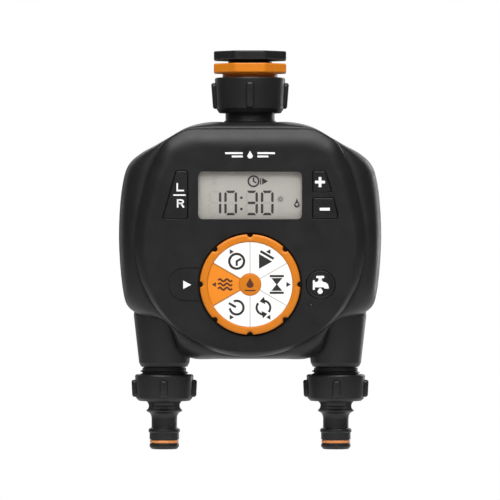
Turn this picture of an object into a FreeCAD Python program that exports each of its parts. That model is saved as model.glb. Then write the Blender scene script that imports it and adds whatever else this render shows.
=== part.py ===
"""Two-outlet battery water timer for a garden tap, built as an assembly of separate pieces.

Millimetres. +Z is up and the front face looks along -Y. The origin is the centre of the inlet
mouth, on the top face of the tap reducer. The water line runs down the Z axis, splits inside the
housing, and leaves through two vertical outlets at X = -OUTLET_X and X = +OUTLET_X.
"""
import FreeCAD, Part
import math
import os

# ---------------------------------------------------------------- threads
G12_MINOR_R = 9.315
G34_MAJOR_R, G34_PITCH = 13.22, 1.814
G1_MAJOR_R, G1_PITCH = 16.62, 2.309
THREAD_DEPTH_PER_PITCH = 0.6403
THREAD_HALF_ANGLE = 27.5
THREAD_PLAY = 0.28

# ---------------------------------------------------------------- inlet stack on the Z axis
HEX_FLAT = 40.0
FLANGE_SIDES = 8
FLANGE_CORNER_R = 2.0
REDUCER_FLANGE_Z = -4.9
REDUCER_BOTTOM_Z = -16.0
REDUCER_MOUTH_LENGTH = 10.0
REDUCER_SEAT_Z = -12.4
REDUCER_BORE_R = 7.0
ADAPTOR_TOP_Z = -6.85
ADAPTOR_FLANGE_Z = -12.0
ADAPTOR_BOTTOM_Z = -24.2
ADAPTOR_SHELF_Z = -18.4
ADAPTOR_BORE_R = 10.0
G34_START_Z = -7.2
G34_TURNS = 4
G1_START_Z = -14.6
G1_TURNS = 4
WASHER_T = 2.0
NUT_TOP_Z, NUT_BOTTOM_Z = -14.5, -34.0
NUT_TOP_R, NUT_LOW_R, NUT_FOOT_R = 19.5, 18.7, 17.1
NUT_CHAMFER_Z = -31.6
NUT_RIB_TOP_Z, NUT_RIB_LOW_Z = -17.3, -31.7
NUT_RIB_TOP_R, NUT_RIB_LOW_R = 21.6, 20.5
NUT_RIB_WIDTH = 4.6
NUT_LIP_Z = -30.0
RIBS = 4
NECK_R = 13.6
NECK_TOP_Z = -26.6
NECK_BORE_R = 8.5
CLIP_GROOVE_R = 12.3
CLIP_R = 15.3
CLIP_TOP_Z, CLIP_LOW_Z = -28.0, -29.7
RUNNING_GAP = 0.15
SPIGOT_FLANGE_R, SPIGOT_FLANGE_Z, SPIGOT_FLANGE_T = 17.0, -41.8, 2.2
SPIGOT_TAIL_R, SPIGOT_TAIL_Z = 11.0, -58.0
SEAL_GROOVE_TOP_Z, SEAL_GROOVE_LOW_Z, SEAL_GROOVE_DEPTH, SEAL_WIRE_R = -50.0, -52.4, 1.5, 0.76
FILTER_RIM_R, FILTER_CUP_R, FILTER_FLOOR_Z, FILTER_SLOTS = 15.0, 7.6, -45.0, 12

# ---------------------------------------------------------------- housing
OUTLET_X = 47.5
TOP_Z = -39.2
WALL = 2.4
MIDDLE_Z = -105.0
FRONT_FACE_Y = -36.0
COVER_EDGE_Y = -30.5
COVER_BACK_Y = -28.0
BULGE_FRONT_Y = -8.0
PARTING_Y = 17.5
BACK_Y = 36.0
LEDGE_Y = -25.6
LEDGE_WIDTH = 6.0
COVER_POWER = 1.4
LEG_TOP_Z, LEG_FOOT_Z, LEG_END_Z = -142.0, -172.8, -174.5
LEG_TOP_R, LEG_FOOT_R, LEG_END_R = 17.36, 13.85, 12.4
LEG_BORE_R = 12.0

# Outlines are right halves from top centre to bottom centre, as (x, z). Even entries are corners,
# odd entries are the middles of the arcs between them.
BODY_HALF = [
    (0.0, -39.2), (11.3, -39.2), (22.7, -39.2), (33.8, -41.8), (44.0, -47.5), (52.3, -52.1),
    (60.5, -56.6), (66.9, -62.6), (70.2, -72.5), (72.4, -103.0), (69.7, -134.5), (67.6, -140.6),
    (63.0, -144.5), (55.3, -147.1), (47.5, -149.6), (43.7, -152.7), (41.9, -157.5), (39.4, -164.8),
    (32.7, -169.4), (16.4, -169.9), (0.0, -169.9),
]
RIM_HALF = [
    (0.0, -43.0), (11.3, -43.0), (22.7, -43.0), (35.0, -43.6), (44.0, -48.1), (47.8, -51.2),
    (50.6, -55.4), (53.7, -62.0), (56.4, -69.0), (63.4, -103.0), (60.2, -124.8), (57.4, -131.8),
    (53.9, -138.3), (50.6, -143.1), (46.9, -147.6), (43.9, -150.6), (40.8, -153.4), (35.2, -157.6),
    (29.0, -161.3), (14.8, -166.5), (0.0, -168.3),
]
FACE_HALF = [
    (0.0, -52.0), (10.5, -52.0), (21.0, -52.0), (31.5, -52.3), (38.8, -54.6), (41.7, -57.2),
    (43.9, -60.6), (46.7, -66.2), (49.1, -72.0), (57.6, -104.0), (54.9, -126.6), (52.6, -134.2),
    (49.0, -141.4), (45.6, -146.0), (42.0, -150.2), (39.1, -152.9), (36.0, -155.3), (30.6, -158.5),
    (24.8, -161.1), (12.6, -164.6), (0.0, -165.5),
]

# ---------------------------------------------------------------- front face features, as x and z
LCD_HALF_X, LCD_TOP_Z, LCD_LOW_Z = 28.4, -67.0, -92.9
LCD_LIP = 2.0
SIDE_KEY = [(-40.6, -66.3), (-33.8, -66.3), (-33.8, -93.0), (-48.2, -93.0)]
PLUS_KEY = [(34.0, -66.5), (41.2, -66.5), (45.2, -78.4), (34.0, -78.4)]
MINUS_KEY = [(34.0, -81.1), (45.9, -81.1), (48.6, -92.9), (34.0, -92.9)]
KEY_CORNER_R = 1.6
KEY_GAP = 0.35
MANUAL_X, MANUAL_Z, MANUAL_R = 38.6, -128.8, 8.1
DIAL_Z = -128.6
DIAL_R, RECESS_R = 27.4, 28.3
DIAL_FRONT_Y, DIAL_BACK_Y = -38.8, -33.5
DIAL_NOTCHES, NOTCH_R, NOTCH_DEPTH = 8, 1.5, 1.6
LABEL_R, LABEL_T = 23.2, 0.4
HUB_R = 6.1
POINTER_END_X, POINTER_HALF_Z = -35.6, 9.2
GROOVE_WIDTH, GROOVE_DEPTH = 0.5, 0.45
LED_X, LED_Z, LED_R = 33.4, -140.2, 0.85
RECESS_FLOOR_Y, RECESS_BACK_Y = -33.2, -31.0
COVER_INNER_Y = -33.6
SHAFT_R = 4.0
PCB_FRONT_Y, PCB_BACK_Y = -23.4, -21.8
BOARD_HALF = [(40.0, -57.5), (46.5, -70.0), (51.0, -90.0), (51.0, -115.0), (46.0, -130.0), (30.0, -146.5)]
# Chips and terminals on the board's back, as x from and to, z from and to, and height.
CHIPS = [(-6, 6, -80, -70, 1.6), (14, 20, -92, -84, 1.2), (-24, -16, -96, -90, 2.2),
         (-34, -28, -114, -104, 4.0), (28, 34, -114, -104, 4.0)]
SWITCH_R = 11.0
KEY_FLANGE_Y = COVER_INNER_Y + 0.1
KEY_FLANGE_T, KEY_PROUD = 1.2, 0.5
KEY_STEM_R, KEY_STEM_Y = 1.6, -27.9
MAT_TOP_Y = -26.9
SIDE_STEM, PLUS_STEM, MINUS_STEM = (-39.5, -80.0), (38.5, -72.5), (40.0, -87.0)
MANUAL_STEM = (MANUAL_X, MANUAL_Z)
SQUARE_HALF = 1.6

# ---------------------------------------------------------------- valves and outlets
GALLERY_Z = -128.0
CHAMBER_R, CHAMBER_BORE_R = 15.5, 12.4
CHAMBER_TOP_Z, CHAMBER_FLOOR_Z, CHAMBER_LOW_Z = -119.0, -134.5, -137.0
SEAT_R, SEAT_BORE_R, SEAT_TOP_Z = 6.2, 4.6, -121.3
PLUNGER_R, PLUNGER_LOW_Z, PLUNGER_TOP_Z = 4.0, -111.0, -88.0
SPRING_TOP_Z = -79.0
GUIDE_R, GUIDE_TOP_Z = 5.3, -76.0
COIL_R, COIL_TOP_Z, COIL_LOW_Z = 10.6, -80.5, -102.5
DIAPHRAGM_R = 12.2
# Lead routes: from a solenoid as distance inwards, y and z, and from the battery tray as x, y and z.
LEAD_R = 0.9
SOLENOID_LEAD = [(1.0, -12.1, -92.0), (1.0, -16.0, -92.5), (4.0, -19.6, -98.0), (8.6, -19.8, -105.5),
                 (12.8, -19.8, -109.0)]
BATTERY_LEAD = [(15.0, 11.9, -104.0), (15.0, 6.0, -104.0), (13.5, -2.0, -99.5), (14.0, -10.0, -95.0),
                (17.0, -16.0, -88.5), (17.0, -20.4, -88.0)]
OUTLET_THREAD_Z = -175.64
OUTLET_TURNS = 7
HIDDEN_TURNS = 2
SPIGOT_R, SPIGOT_BORE_R, SPIGOT_END_Z = 11.4, 9.0, -188.7
CON_TOP_Z, CON_LOW_Z = -178.6, -193.3
CON_TOP_R, CON_LOW_R = 16.2, 15.5
CON_RIB_TOP_Z, CON_RIB_LOW_Z, CON_RIB_R, CON_RIB_WIDTH = -181.6, -191.2, 18.2, 4.4
CON_BORE_R = 4.2
NOSE_R = 8.15
NOSE_END_Z = -220.0
NOSE_NECK_R, FLANGE_R, FLANGE_TOP_Z, FLANGE_LOW_Z = 7.05, 8.7, -209.1, -210.4
COLLAR_R, COLLAR_LOW_Z = 10.2, -198.9
SCOOP_R, SCOOP_Y, COLLAR_MIDDLE_Z = 3.1, 11.5, -196.0
ORING_Z, ORING_R, ORING_WIRE_R = -215.8, 8.0, 1.1
SIDES = {"left": -1, "right": 1}

# ---------------------------------------------------------------- power
CELL_R, CELL_LENGTH, CELLS = 7.2, 50.0, 4
CELL_PITCH, CELL_TOP_Z, CELL_Y = 15.0, -102.0, 21.6
TRAY_HALF_X, TRAY_FRONT_Y, TRAY_BACK_Y = 29.0, 12.0, 29.6
DOOR_HALF_X, DOOR_TOP_Z, DOOR_LOW_Z = 29.5, -93.5, -155.5
DOOR_GAP = 0.4
DOOR_CORNER_R = 5.0
DOOR_OPENING = (-DOOR_HALF_X, DOOR_HALF_X, DOOR_LOW_Z, DOOR_TOP_Z)
LID_T, LID_PROUD = 2.6, 0.2
RIDGES, RIDGE_PITCH, RIDGE_HALF_X, RIDGE_HEIGHT, RIDGE_DROP = 5, 2.2, 16.0, 0.9, 5.9
HINGE_Y, HINGE_Z, HINGE_R, HINGE_PIN_R = 37.6, -157.6, 2.4, 1.1
KNUCKLE_X = [(-26.0, -18.0), (18.0, 26.0)]
DOOR_KNUCKLE_X = (-17.7, 17.7)
CONTACT_T, CONTACT_HALF, TRAY_WALL = 0.5, 4.0, 1.2

BODY_SCREWS = [(38.0, -52.6), (57.0, -98.0), (40.0, -147.0)]
POST_FRONT_Y = 12.8
WELL_DEPTH = 9.0
BODY_SCREW_LENGTH = 13.0
COVER_SCREWS = [(36.0, -51.8), (40.0, -142.6)]
PCB_SCREWS = [(24.0, -60.5), (22.0, -145.0)]
BONNET_SCREW_ANGLES = (45, 135, 225, 315)
BONNET_SCREW_OFFSET = 13.9

X_AXIS = FreeCAD.Vector(1, 0, 0)
Y_AXIS = FreeCAD.Vector(0, 1, 0)
Z_AXIS = FreeCAD.Vector(0, 0, 1)


# ================================================================ helpers
def vec(x, y, z):
    return FreeCAD.Vector(x, y, z)


def turned(points, x=0.0, y=0.0):
    """Solid of revolution about the vertical axis at (x, y), from (radius, z) points."""
    corners = [vec(x + r, y, z) for r, z in points]
    face = Part.Face(Part.makePolygon(corners + corners[:1]))
    return face.revolve(vec(x, y, 0), Z_AXIS, 360)


def turned_y(points, x, z):
    """Solid of revolution about an axis along Y through (x, z), from (radius, y) points."""
    corners = [vec(x + r, y, z) for r, y in points]
    face = Part.Face(Part.makePolygon(corners + corners[:1]))
    return face.revolve(vec(x, 0, z), Y_AXIS, 360)


def ring(r_out, r_in, z_low, z_high, x=0.0, y=0.0):
    return turned([(r_in, z_low), (r_out, z_low), (r_out, z_high), (r_in, z_high)], x, y)


def rod(r, z_low, z_high, x=0.0, y=0.0):
    return Part.makeCylinder(r, z_high - z_low, vec(x, y, z_low), Z_AXIS)


def peg(r, y_low, y_high, x, z):
    return Part.makeCylinder(r, y_high - y_low, vec(x, y_low, z), Y_AXIS)


def block(x0, x1, y0, y1, z0, z1):
    return Part.makeBox(x1 - x0, y1 - y0, z1 - z0, vec(x0, y0, z0))


def slab(points, y_low, y_high, corner_r=0.0):
    """Prism along Y of an (x, z) polygon, its corners rounded."""
    corners = [vec(x, y_low, z) for x, z in points]
    solid = Part.Face(Part.makePolygon(corners + corners[:1])).extrude(vec(0, y_high - y_low, 0))
    if corner_r > 0:
        upright = [e for e in solid.Edges if abs(e.tangentAt(e.FirstParameter).y) > 0.99]
        solid = solid.makeFillet(corner_r, upright)
    return solid


def plate(x0, x1, z0, z1, y_low, y_high, corner_r=0.0):
    return slab([(x0, z0), (x1, z0), (x1, z1), (x0, z1)], y_low, y_high, corner_r)


def grown(points, distance):
    """A convex (x, z) polygon with every side moved outwards."""
    centre_x = sum(p[0] for p in points) / len(points)
    centre_z = sum(p[1] for p in points) / len(points)
    lines = []
    for i in range(len(points)):
        (ax, az), (bx, bz) = points[i], points[(i + 1) % len(points)]
        length = math.hypot(bx - ax, bz - az)
        nx, nz = (bz - az) / length, (ax - bx) / length
        if nx * (ax - centre_x) + nz * (az - centre_z) < 0:
            nx, nz = -nx, -nz
        lines.append((nx, nz, nx * ax + nz * az + distance))
    result = []
    for i in range(len(lines)):
        (a, b, c), (d, e, f) = lines[i - 1], lines[i]
        cross = a * e - b * d
        result.append(((c * e - b * f) / cross, (a * f - c * d) / cross))
    return result


def fused(shapes):
    return shapes[0].multiFuse(shapes[1:]).removeSplitter()


def cut(shape, tools):
    return shape.cut(tools)


def moved(shape, x=0.0, y=0.0, z=0.0):
    copy = shape.copy()
    copy.translate(vec(x, y, z))
    return copy


def turned_by(shape, degrees, x=0.0, y=0.0):
    copy = shape.copy()
    copy.rotate(vec(x, y, 0), Z_AXIS, degrees)
    return copy


def thread(major_r, pitch, z_top, first, last, play=0.0):
    """(radius, z) points of ring-shaped 55 degree threads, from turn first up to turn last."""
    depth = THREAD_DEPTH_PER_PITCH * pitch
    flank = depth * math.tan(math.radians(THREAD_HALF_ANGLE))
    flat = pitch / 2 - flank
    root, crest = major_r - depth + play, major_r + play
    points = []
    for turn in range(first, last):
        z = z_top - turn * pitch
        points += [(root, z), (root, z - flat), (crest, z - flat - flank)]
        points += [(crest, z - 2 * flat - flank)]
    points.append((root, z_top - last * pitch))
    return points


def octagon(z_low, z_high):
    """Eight-sided flange with a flat facing the front and rounded corners."""
    radius = HEX_FLAT / 2 / math.cos(math.pi / FLANGE_SIDES)
    corners = []
    for i in range(FLANGE_SIDES + 1):
        angle = 2 * math.pi * (i + 0.5) / FLANGE_SIDES
        corners.append(vec(radius * math.cos(angle), radius * math.sin(angle), z_low))
    solid = Part.Face(Part.makePolygon(corners)).extrude(vec(0, 0, z_high - z_low))
    upright = [e for e in solid.Edges if abs(e.tangentAt(e.FirstParameter).z) > 0.99]
    return solid.makeFillet(FLANGE_CORNER_R, upright)


def ribs(r_root, r_top, r_low, z_top, z_low, width, x=0.0):
    """Four upright grip ribs round a vertical axis, tapering a little towards the foot."""
    bevel = 0.9
    profile = [(r_root, z_top), (r_top - bevel, z_top), (r_top, z_top - bevel),
               (r_low, z_low + bevel), (r_low - bevel, z_low), (r_root, z_low)]
    corners = [vec(x + r, -width / 2, z) for r, z in profile]
    rib = Part.Face(Part.makePolygon(corners + corners[:1])).extrude(vec(0, width, 0))
    return [turned_by(rib, 360 / RIBS * i, x) for i in range(RIBS)]


def inset(half, distance):
    """A half outline moved inwards along its own normals."""
    whole = [(-half[1][0], half[1][1])] + half + [(-half[-2][0], half[-2][1])]
    result = []
    for i in range(1, len(whole) - 1):
        dx = whole[i + 1][0] - whole[i - 1][0]
        dz = whole[i + 1][1] - whole[i - 1][1]
        length = math.hypot(dx, dz)
        x = whole[i][0] + distance * dz / length
        z = whole[i][1] - distance * dx / length
        result.append((x, z))
    result[0] = (0.0, result[0][1])
    result[-1] = (0.0, result[-1][1])
    return result


def between(half_a, half_b, share):
    pairs = zip(half_a, half_b)
    return [(a[0] + (b[0] - a[0]) * share, a[1] + (b[1] - a[1]) * share) for a, b in pairs]


def outline(half, y):
    """Closed wire at depth y: the half outline, then its mirror image back up."""
    loop = half + [(-x, z) for x, z in reversed(half[1:-1])]
    edges = []
    for i in range(0, len(loop), 2):
        start, middle, end = loop[i], loop[i + 1], loop[(i + 2) % len(loop)]
        a, m, b = [vec(p[0], y, p[1]) for p in (start, middle, end)]
        bow = m.distanceToLineSegment(a, b).Length
        edges.append(Part.LineSegment(a, b).toShape() if bow < 0.02 else Part.Arc(a, m, b).toShape())
    return Part.Wire(edges)


def loft(sections):
    """Solid through (half outline, y) sections."""
    return Part.makeLoft([outline(half, y) for half, y in sections], True, False)


def swell(half_a, half_b, y_a, y_b, distance=0.0, power=2.0):
    """Sections that leave half_a square to it and round over at half_b; a lower power is flatter."""
    sections = []
    for share in (0.0, 0.3, 0.55, 0.76, 0.91, 0.985):
        ease = 1 - (1 - share ** power) ** (1 / power)
        half = between(half_a, half_b, ease)
        sections.append((inset(half, distance) if distance else half, y_a + (y_b - y_a) * share))
    end = inset(half_b, distance) if distance else half_b
    sections.append((end, y_b))
    return sections


def prism(half, y_low, y_high):
    return Part.Face(outline(half, y_low)).extrude(vec(0, y_high - y_low, 0))


def both(points):
    """Points and their mirror images across the middle plane."""
    return points + [(-x, z) for x, z in points]


def pipe(points, radius):
    """Round lead along straight runs joined by tangent arcs."""
    corners = [vec(*p) for p in points]
    edges, start = [], corners[0]
    for before, here, after in zip(corners, corners[1:], corners[2:]):
        back, ahead = (before - here), (after - here)
        reach = 0.45 * min(back.Length, ahead.Length)
        back.normalize()
        ahead.normalize()
        a, b = here + back * reach, here + ahead * reach
        angle = back.getAngle(ahead)
        arc_r = reach * math.tan(angle / 2)
        centre = here + (back + ahead).normalize() * (arc_r / math.sin(angle / 2))
        middle = centre + (here - centre).normalize() * arc_r
        edges.append(Part.LineSegment(start, a).toShape())
        edges.append(Part.Arc(a, middle, b).toShape())
        start = b
    edges.append(Part.LineSegment(start, corners[-1]).toShape())
    path = Part.Wire(edges)
    section = Part.Wire(Part.makeCircle(radius, corners[0], corners[1] - corners[0]))
    return path.makePipeShell([section], True, False)


def screw(x, y_head, z, head_r, shank_r, length, way):
    """Pan-head screw along Y with a cross recess; way is the direction of its tip."""
    head_t = head_r * 0.6
    low, high = sorted((y_head, y_head - way * head_t))
    head = peg(head_r, low, high, x, z)
    low, high = sorted((y_head, y_head + way * length))
    shank = peg(shank_r, low, high, x, z)
    slot_y = y_head - way * head_t
    low, high = sorted((slot_y, slot_y + way * head_t * 0.5))
    cross = [block(x - head_r * 0.6, x + head_r * 0.6, low, high, z - 0.25, z + 0.25),
             block(x - 0.25, x + 0.25, low, high, z - head_r * 0.6, z + head_r * 0.6)]
    return cut(fused([head, shank]), cross)


# ================================================================ inlet stack
def tap_reducer():
    bore = [(G12_MINOR_R, 0.0), (G12_MINOR_R, -REDUCER_MOUTH_LENGTH), (10.4, -REDUCER_MOUTH_LENGTH),
            (10.4, REDUCER_SEAT_Z), (REDUCER_BORE_R, REDUCER_SEAT_Z), (REDUCER_BORE_R, REDUCER_BOTTOM_Z)]
    male = thread(G34_MAJOR_R, G34_PITCH, G34_START_Z, 0, G34_TURNS)
    neck_r = male[0][0]
    outside = [(neck_r, REDUCER_BOTTOM_Z)] + male[::-1] + [(neck_r, REDUCER_FLANGE_Z + 1.0)]
    neck = turned(bore + outside + [(neck_r, 0.0)])
    flange = cut(octagon(REDUCER_FLANGE_Z, 0.0), [rod(neck_r - 0.5, REDUCER_FLANGE_Z - 1, 1)])
    return fused([neck, flange])


def reducer_washer():
    return ring(10.2, 6.6, REDUCER_SEAT_Z, REDUCER_SEAT_Z + WASHER_T)


def tap_adaptor():
    female = thread(G34_MAJOR_R, G34_PITCH, G34_START_Z, 0, G34_TURNS, THREAD_PLAY)
    entry_r = female[0][0]
    male = thread(G1_MAJOR_R, G1_PITCH, G1_START_Z, 0, G1_TURNS)
    neck_r = male[0][0]
    points = [(entry_r, ADAPTOR_TOP_Z)] + female + [(entry_r, ADAPTOR_SHELF_Z)]
    points += [(ADAPTOR_BORE_R, ADAPTOR_SHELF_Z), (ADAPTOR_BORE_R, ADAPTOR_BOTTOM_Z)]
    points += [(neck_r, ADAPTOR_BOTTOM_Z)] + male[::-1] + [(neck_r, ADAPTOR_TOP_Z)]
    flange = cut(octagon(ADAPTOR_FLANGE_Z, ADAPTOR_TOP_Z), [rod(neck_r - 0.5, -20, 0)])
    return fused([turned(points), flange])


def adaptor_washer():
    return ring(11.9, 7.6, ADAPTOR_SHELF_Z, REDUCER_BOTTOM_Z)


def inlet_filter():
    """Strainer cup with a sealing rim, its wall cut by upright slots."""
    rim_top, rim_low = ADAPTOR_BOTTOM_Z, NECK_TOP_Z
    cup_r, floor_z = FILTER_CUP_R, FILTER_FLOOR_Z
    cup = turned([(cup_r - 1, rim_top), (FILTER_RIM_R, rim_top), (FILTER_RIM_R, rim_low), (cup_r, rim_low),
                  (cup_r, floor_z), (0, floor_z), (0, floor_z + 1), (cup_r - 1, floor_z + 1)])
    slot = block(cup_r - 1.5, cup_r + 1, -0.9, 0.9, floor_z + 2, rim_low - 2)
    return cut(cup, [turned_by(slot, 360 / FILTER_SLOTS * i) for i in range(FILTER_SLOTS)])


def inlet_swivel_nut():
    female = thread(G1_MAJOR_R, G1_PITCH, G1_START_Z, 0, G1_TURNS, THREAD_PLAY)
    entry_r, lip_r = female[0][0], NECK_R + RUNNING_GAP
    inside = [(entry_r, NUT_TOP_Z)] + female + [(16.0, female[-1][1]), (16.0, NUT_LIP_Z)]
    inside += [(lip_r, NUT_LIP_Z), (lip_r, NUT_BOTTOM_Z)]
    outside = [(NUT_FOOT_R, NUT_BOTTOM_Z), (NUT_LOW_R, NUT_CHAMFER_Z),
               (NUT_TOP_R, NUT_TOP_Z - 0.8), (NUT_TOP_R - 0.8, NUT_TOP_Z)]
    grip = ribs(NUT_LOW_R - 1.2, NUT_RIB_TOP_R, NUT_RIB_LOW_R, NUT_RIB_TOP_Z, NUT_RIB_LOW_Z, NUT_RIB_WIDTH)
    return fused([turned(inside + outside)] + grip)


def nut_retaining_ring():
    whole = ring(CLIP_R, CLIP_GROOVE_R, CLIP_LOW_Z, CLIP_TOP_Z)
    gap = block(0, CLIP_R + 1, -1.5, 1.5, CLIP_LOW_Z - 1, CLIP_TOP_Z + 1)
    return cut(whole, [gap])


def inlet_spigot():
    """Neck that the nut turns on. It passes through the housing and plugs into the manifold."""
    points = [(NECK_BORE_R, NECK_TOP_Z), (NECK_R - 0.5, NECK_TOP_Z), (NECK_R, NECK_TOP_Z - 0.5),
              (NECK_R, CLIP_TOP_Z + 0.1), (CLIP_GROOVE_R, CLIP_TOP_Z + 0.1),
              (CLIP_GROOVE_R, CLIP_LOW_Z - 0.1), (NECK_R, CLIP_LOW_Z - 0.1), (NECK_R, SPIGOT_FLANGE_Z),
              (SPIGOT_FLANGE_R, SPIGOT_FLANGE_Z), (SPIGOT_FLANGE_R, SPIGOT_FLANGE_Z - SPIGOT_FLANGE_T),
              (SPIGOT_TAIL_R, SPIGOT_FLANGE_Z - SPIGOT_FLANGE_T), (SPIGOT_TAIL_R, SEAL_GROOVE_TOP_Z),
              (SPIGOT_TAIL_R - SEAL_GROOVE_DEPTH, SEAL_GROOVE_TOP_Z),
              (SPIGOT_TAIL_R - SEAL_GROOVE_DEPTH, SEAL_GROOVE_LOW_Z), (SPIGOT_TAIL_R, SEAL_GROOVE_LOW_Z),
              (SPIGOT_TAIL_R, SPIGOT_TAIL_Z),
              (NECK_BORE_R, SPIGOT_TAIL_Z)]
    return turned(points)


def spigot_oring():
    """Seal ring that sits in the groove of the spigot's tail."""
    middle_z = (SEAL_GROOVE_TOP_Z + SEAL_GROOVE_LOW_Z) / 2
    centre_r = SPIGOT_TAIL_R - SEAL_GROOVE_DEPTH + 0.02 + SEAL_WIRE_R
    return Part.makeTorus(centre_r, SEAL_WIRE_R, vec(0, 0, middle_z), Z_AXIS)


# ================================================================ housing
def leg(x):
    """Tapered leg that an outlet comes out of, still solid."""
    return turned([(0, LEG_END_Z), (LEG_END_R, LEG_END_Z), (LEG_FOOT_R, LEG_FOOT_Z),
                   (LEG_TOP_R, LEG_TOP_Z), (0, LEG_TOP_Z)], x)


def post(x, z, y_low, y_high):
    """Screw post with a web that ties it to the wall outside it."""
    reach = 14.0
    length = math.hypot(x, z - MIDDLE_Z)
    end_x, end_z = x + reach * x / length, z + reach * (z - MIDDLE_Z) / length
    side_x, side_z = (z - MIDDLE_Z) / length * 1.2, -x / length * 1.2
    web = slab([(x + side_x, z + side_z), (end_x + side_x, end_z + side_z),
                (end_x - side_x, end_z - side_z), (x - side_x, z - side_z)], y_low, y_high)
    return fused([peg(3.6, y_low, y_high, x, z), web])


def main_housing():
    """Body tub with both legs, open at the back and with a ledge round its front opening."""
    outer = loft(swell(BODY_HALF, RIM_HALF, BULGE_FRONT_Y, COVER_BACK_Y))
    outer = fused([outer, prism(BODY_HALF, BULGE_FRONT_Y, PARTING_Y)])
    hollow_front = swell(BODY_HALF, RIM_HALF, BULGE_FRONT_Y, LEDGE_Y, WALL)
    hollow = loft(hollow_front)
    hollow_back = prism(inset(BODY_HALF, WALL), BULGE_FRONT_Y, PARTING_Y + 1)
    window = prism(inset(RIM_HALF, LEDGE_WIDTH), COVER_BACK_Y - 1, LEDGE_Y + 1)
    shell = cut(outer, [hollow, hollow_back, window])
    room = prism(inset(BODY_HALF, 0.2), BULGE_FRONT_Y, PARTING_Y)
    legs = [leg(side * OUTLET_X) for side in (-1, 1)]
    bores = [rod(LEG_BORE_R, LEG_FOOT_Z - 5, LEG_TOP_Z + 10, side * OUTLET_X) for side in (-1, 1)]
    shell = fused([shell] + legs)
    collar = rod(SPIGOT_FLANGE_R + 2.0, TOP_Z - 4.0, TOP_Z - 0.2)
    shell = fused([shell, collar.common(room)])
    posts = [post(x, z, POST_FRONT_Y, PARTING_Y).common(room) for x, z in both(BODY_SCREWS)]
    tabs = [peg(4.0, COVER_BACK_Y, LEDGE_Y, x, z) for x, z in both(COVER_SCREWS)]
    shell = fused([shell] + posts + tabs)
    holes = [peg(1.25, POST_FRONT_Y + 0.6, PARTING_Y + 1, x, z) for x, z in both(BODY_SCREWS)]
    holes += [peg(1.6, COVER_BACK_Y - 1, LEDGE_Y + 1, x, z) for x, z in both(COVER_SCREWS)]
    neck_hole = rod(NECK_R + 0.2, TOP_Z - 10, TOP_Z + 5)
    seat = rod(SPIGOT_FLANGE_R + 0.2, TOP_Z - 10, SPIGOT_FLANGE_Z)
    return cut(shell, bores + holes + [neck_hole, seat])


def knuckle(x0, x1):
    return Part.makeCylinder(HINGE_R, x1 - x0, vec(x0, HINGE_Y, HINGE_Z), X_AXIS)


def pin_hole(x0, x1, radius):
    return Part.makeCylinder(radius, x1 - x0, vec(x0, HINGE_Y, HINGE_Z), X_AXIS)


def rear_cover():
    """Back shell with the battery opening, its hinge knuckles and six deep screw wells."""
    outer = loft(swell(BODY_HALF, RIM_HALF, PARTING_Y, BACK_Y))
    hollow = loft(swell(BODY_HALF, RIM_HALF, PARTING_Y, BACK_Y - WALL, WALL))
    shell = cut(outer, [hollow])
    posts = [post(x, z, PARTING_Y, BACK_Y).common(outer) for x, z in both(BODY_SCREWS)]
    wall = [plate(-DOOR_HALF_X - 2, DOOR_HALF_X + 2, DOOR_LOW_Z - 2, DOOR_TOP_Z + 2, BACK_Y - 6, BACK_Y,
                  DOOR_CORNER_R + 2).common(outer)]
    pads = [fused([knuckle(x0, x1), block(x0, x1, BACK_Y - 1, HINGE_Y, HINGE_Z - HINGE_R, HINGE_Z)])
            for x0, x1 in KNUCKLE_X]
    shell = fused([shell] + posts + wall + pads)
    opening = plate(*DOOR_OPENING, BACK_Y - 8, BACK_Y + 1, DOOR_CORNER_R)
    recess = plate(DOOR_KNUCKLE_X[0] - 0.3, DOOR_KNUCKLE_X[1] + 0.3, HINGE_Z - HINGE_R - 0.5,
                   DOOR_LOW_Z + 1, BACK_Y - 1.6, BACK_Y + 1)
    holes = [peg(1.7, PARTING_Y - 1, BACK_Y + 1, x, z) for x, z in both(BODY_SCREWS)]
    wells = [peg(3.3, BACK_Y - WELL_DEPTH, BACK_Y + 1, x, z) for x, z in both(BODY_SCREWS)]
    hinge_holes = [pin_hole(x0 - 1, x1 + 1, HINGE_PIN_R) for x0, x1 in KNUCKLE_X]
    return cut(shell, [opening, recess] + holes + wells + hinge_holes)


def housing_gasket():
    """Seal that fills a step inside the seam between the body tub and the back shell."""
    outer = prism(inset(BODY_HALF, WALL + 0.1), PARTING_Y - 1.5, PARTING_Y + 1.5)
    inner = prism(inset(BODY_HALF, WALL + 1.1), PARTING_Y - 2, PARTING_Y + 2)
    clear = [post(x, z, PARTING_Y - 3, PARTING_Y + 3) for x, z in both(BODY_SCREWS)]
    clear += [rod(SPIGOT_FLANGE_R + 2.2, TOP_Z - 5, TOP_Z)]
    legs = [rod(LEG_TOP_R + 0.2, LEG_END_Z, LEG_TOP_Z + 1, side * OUTLET_X) for side in (-1, 1)]
    solid = cut(outer, [inner] + clear + legs)
    return Part.makeCompound([s for s in solid.Solids if s.Volume > 1.0])


def rear_cover_screws():
    head_y = BACK_Y - WELL_DEPTH
    screws = [screw(x, head_y, z, 2.8, 1.25, BODY_SCREW_LENGTH, -1) for x, z in both(BODY_SCREWS)]
    return Part.makeCompound(screws)


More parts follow.
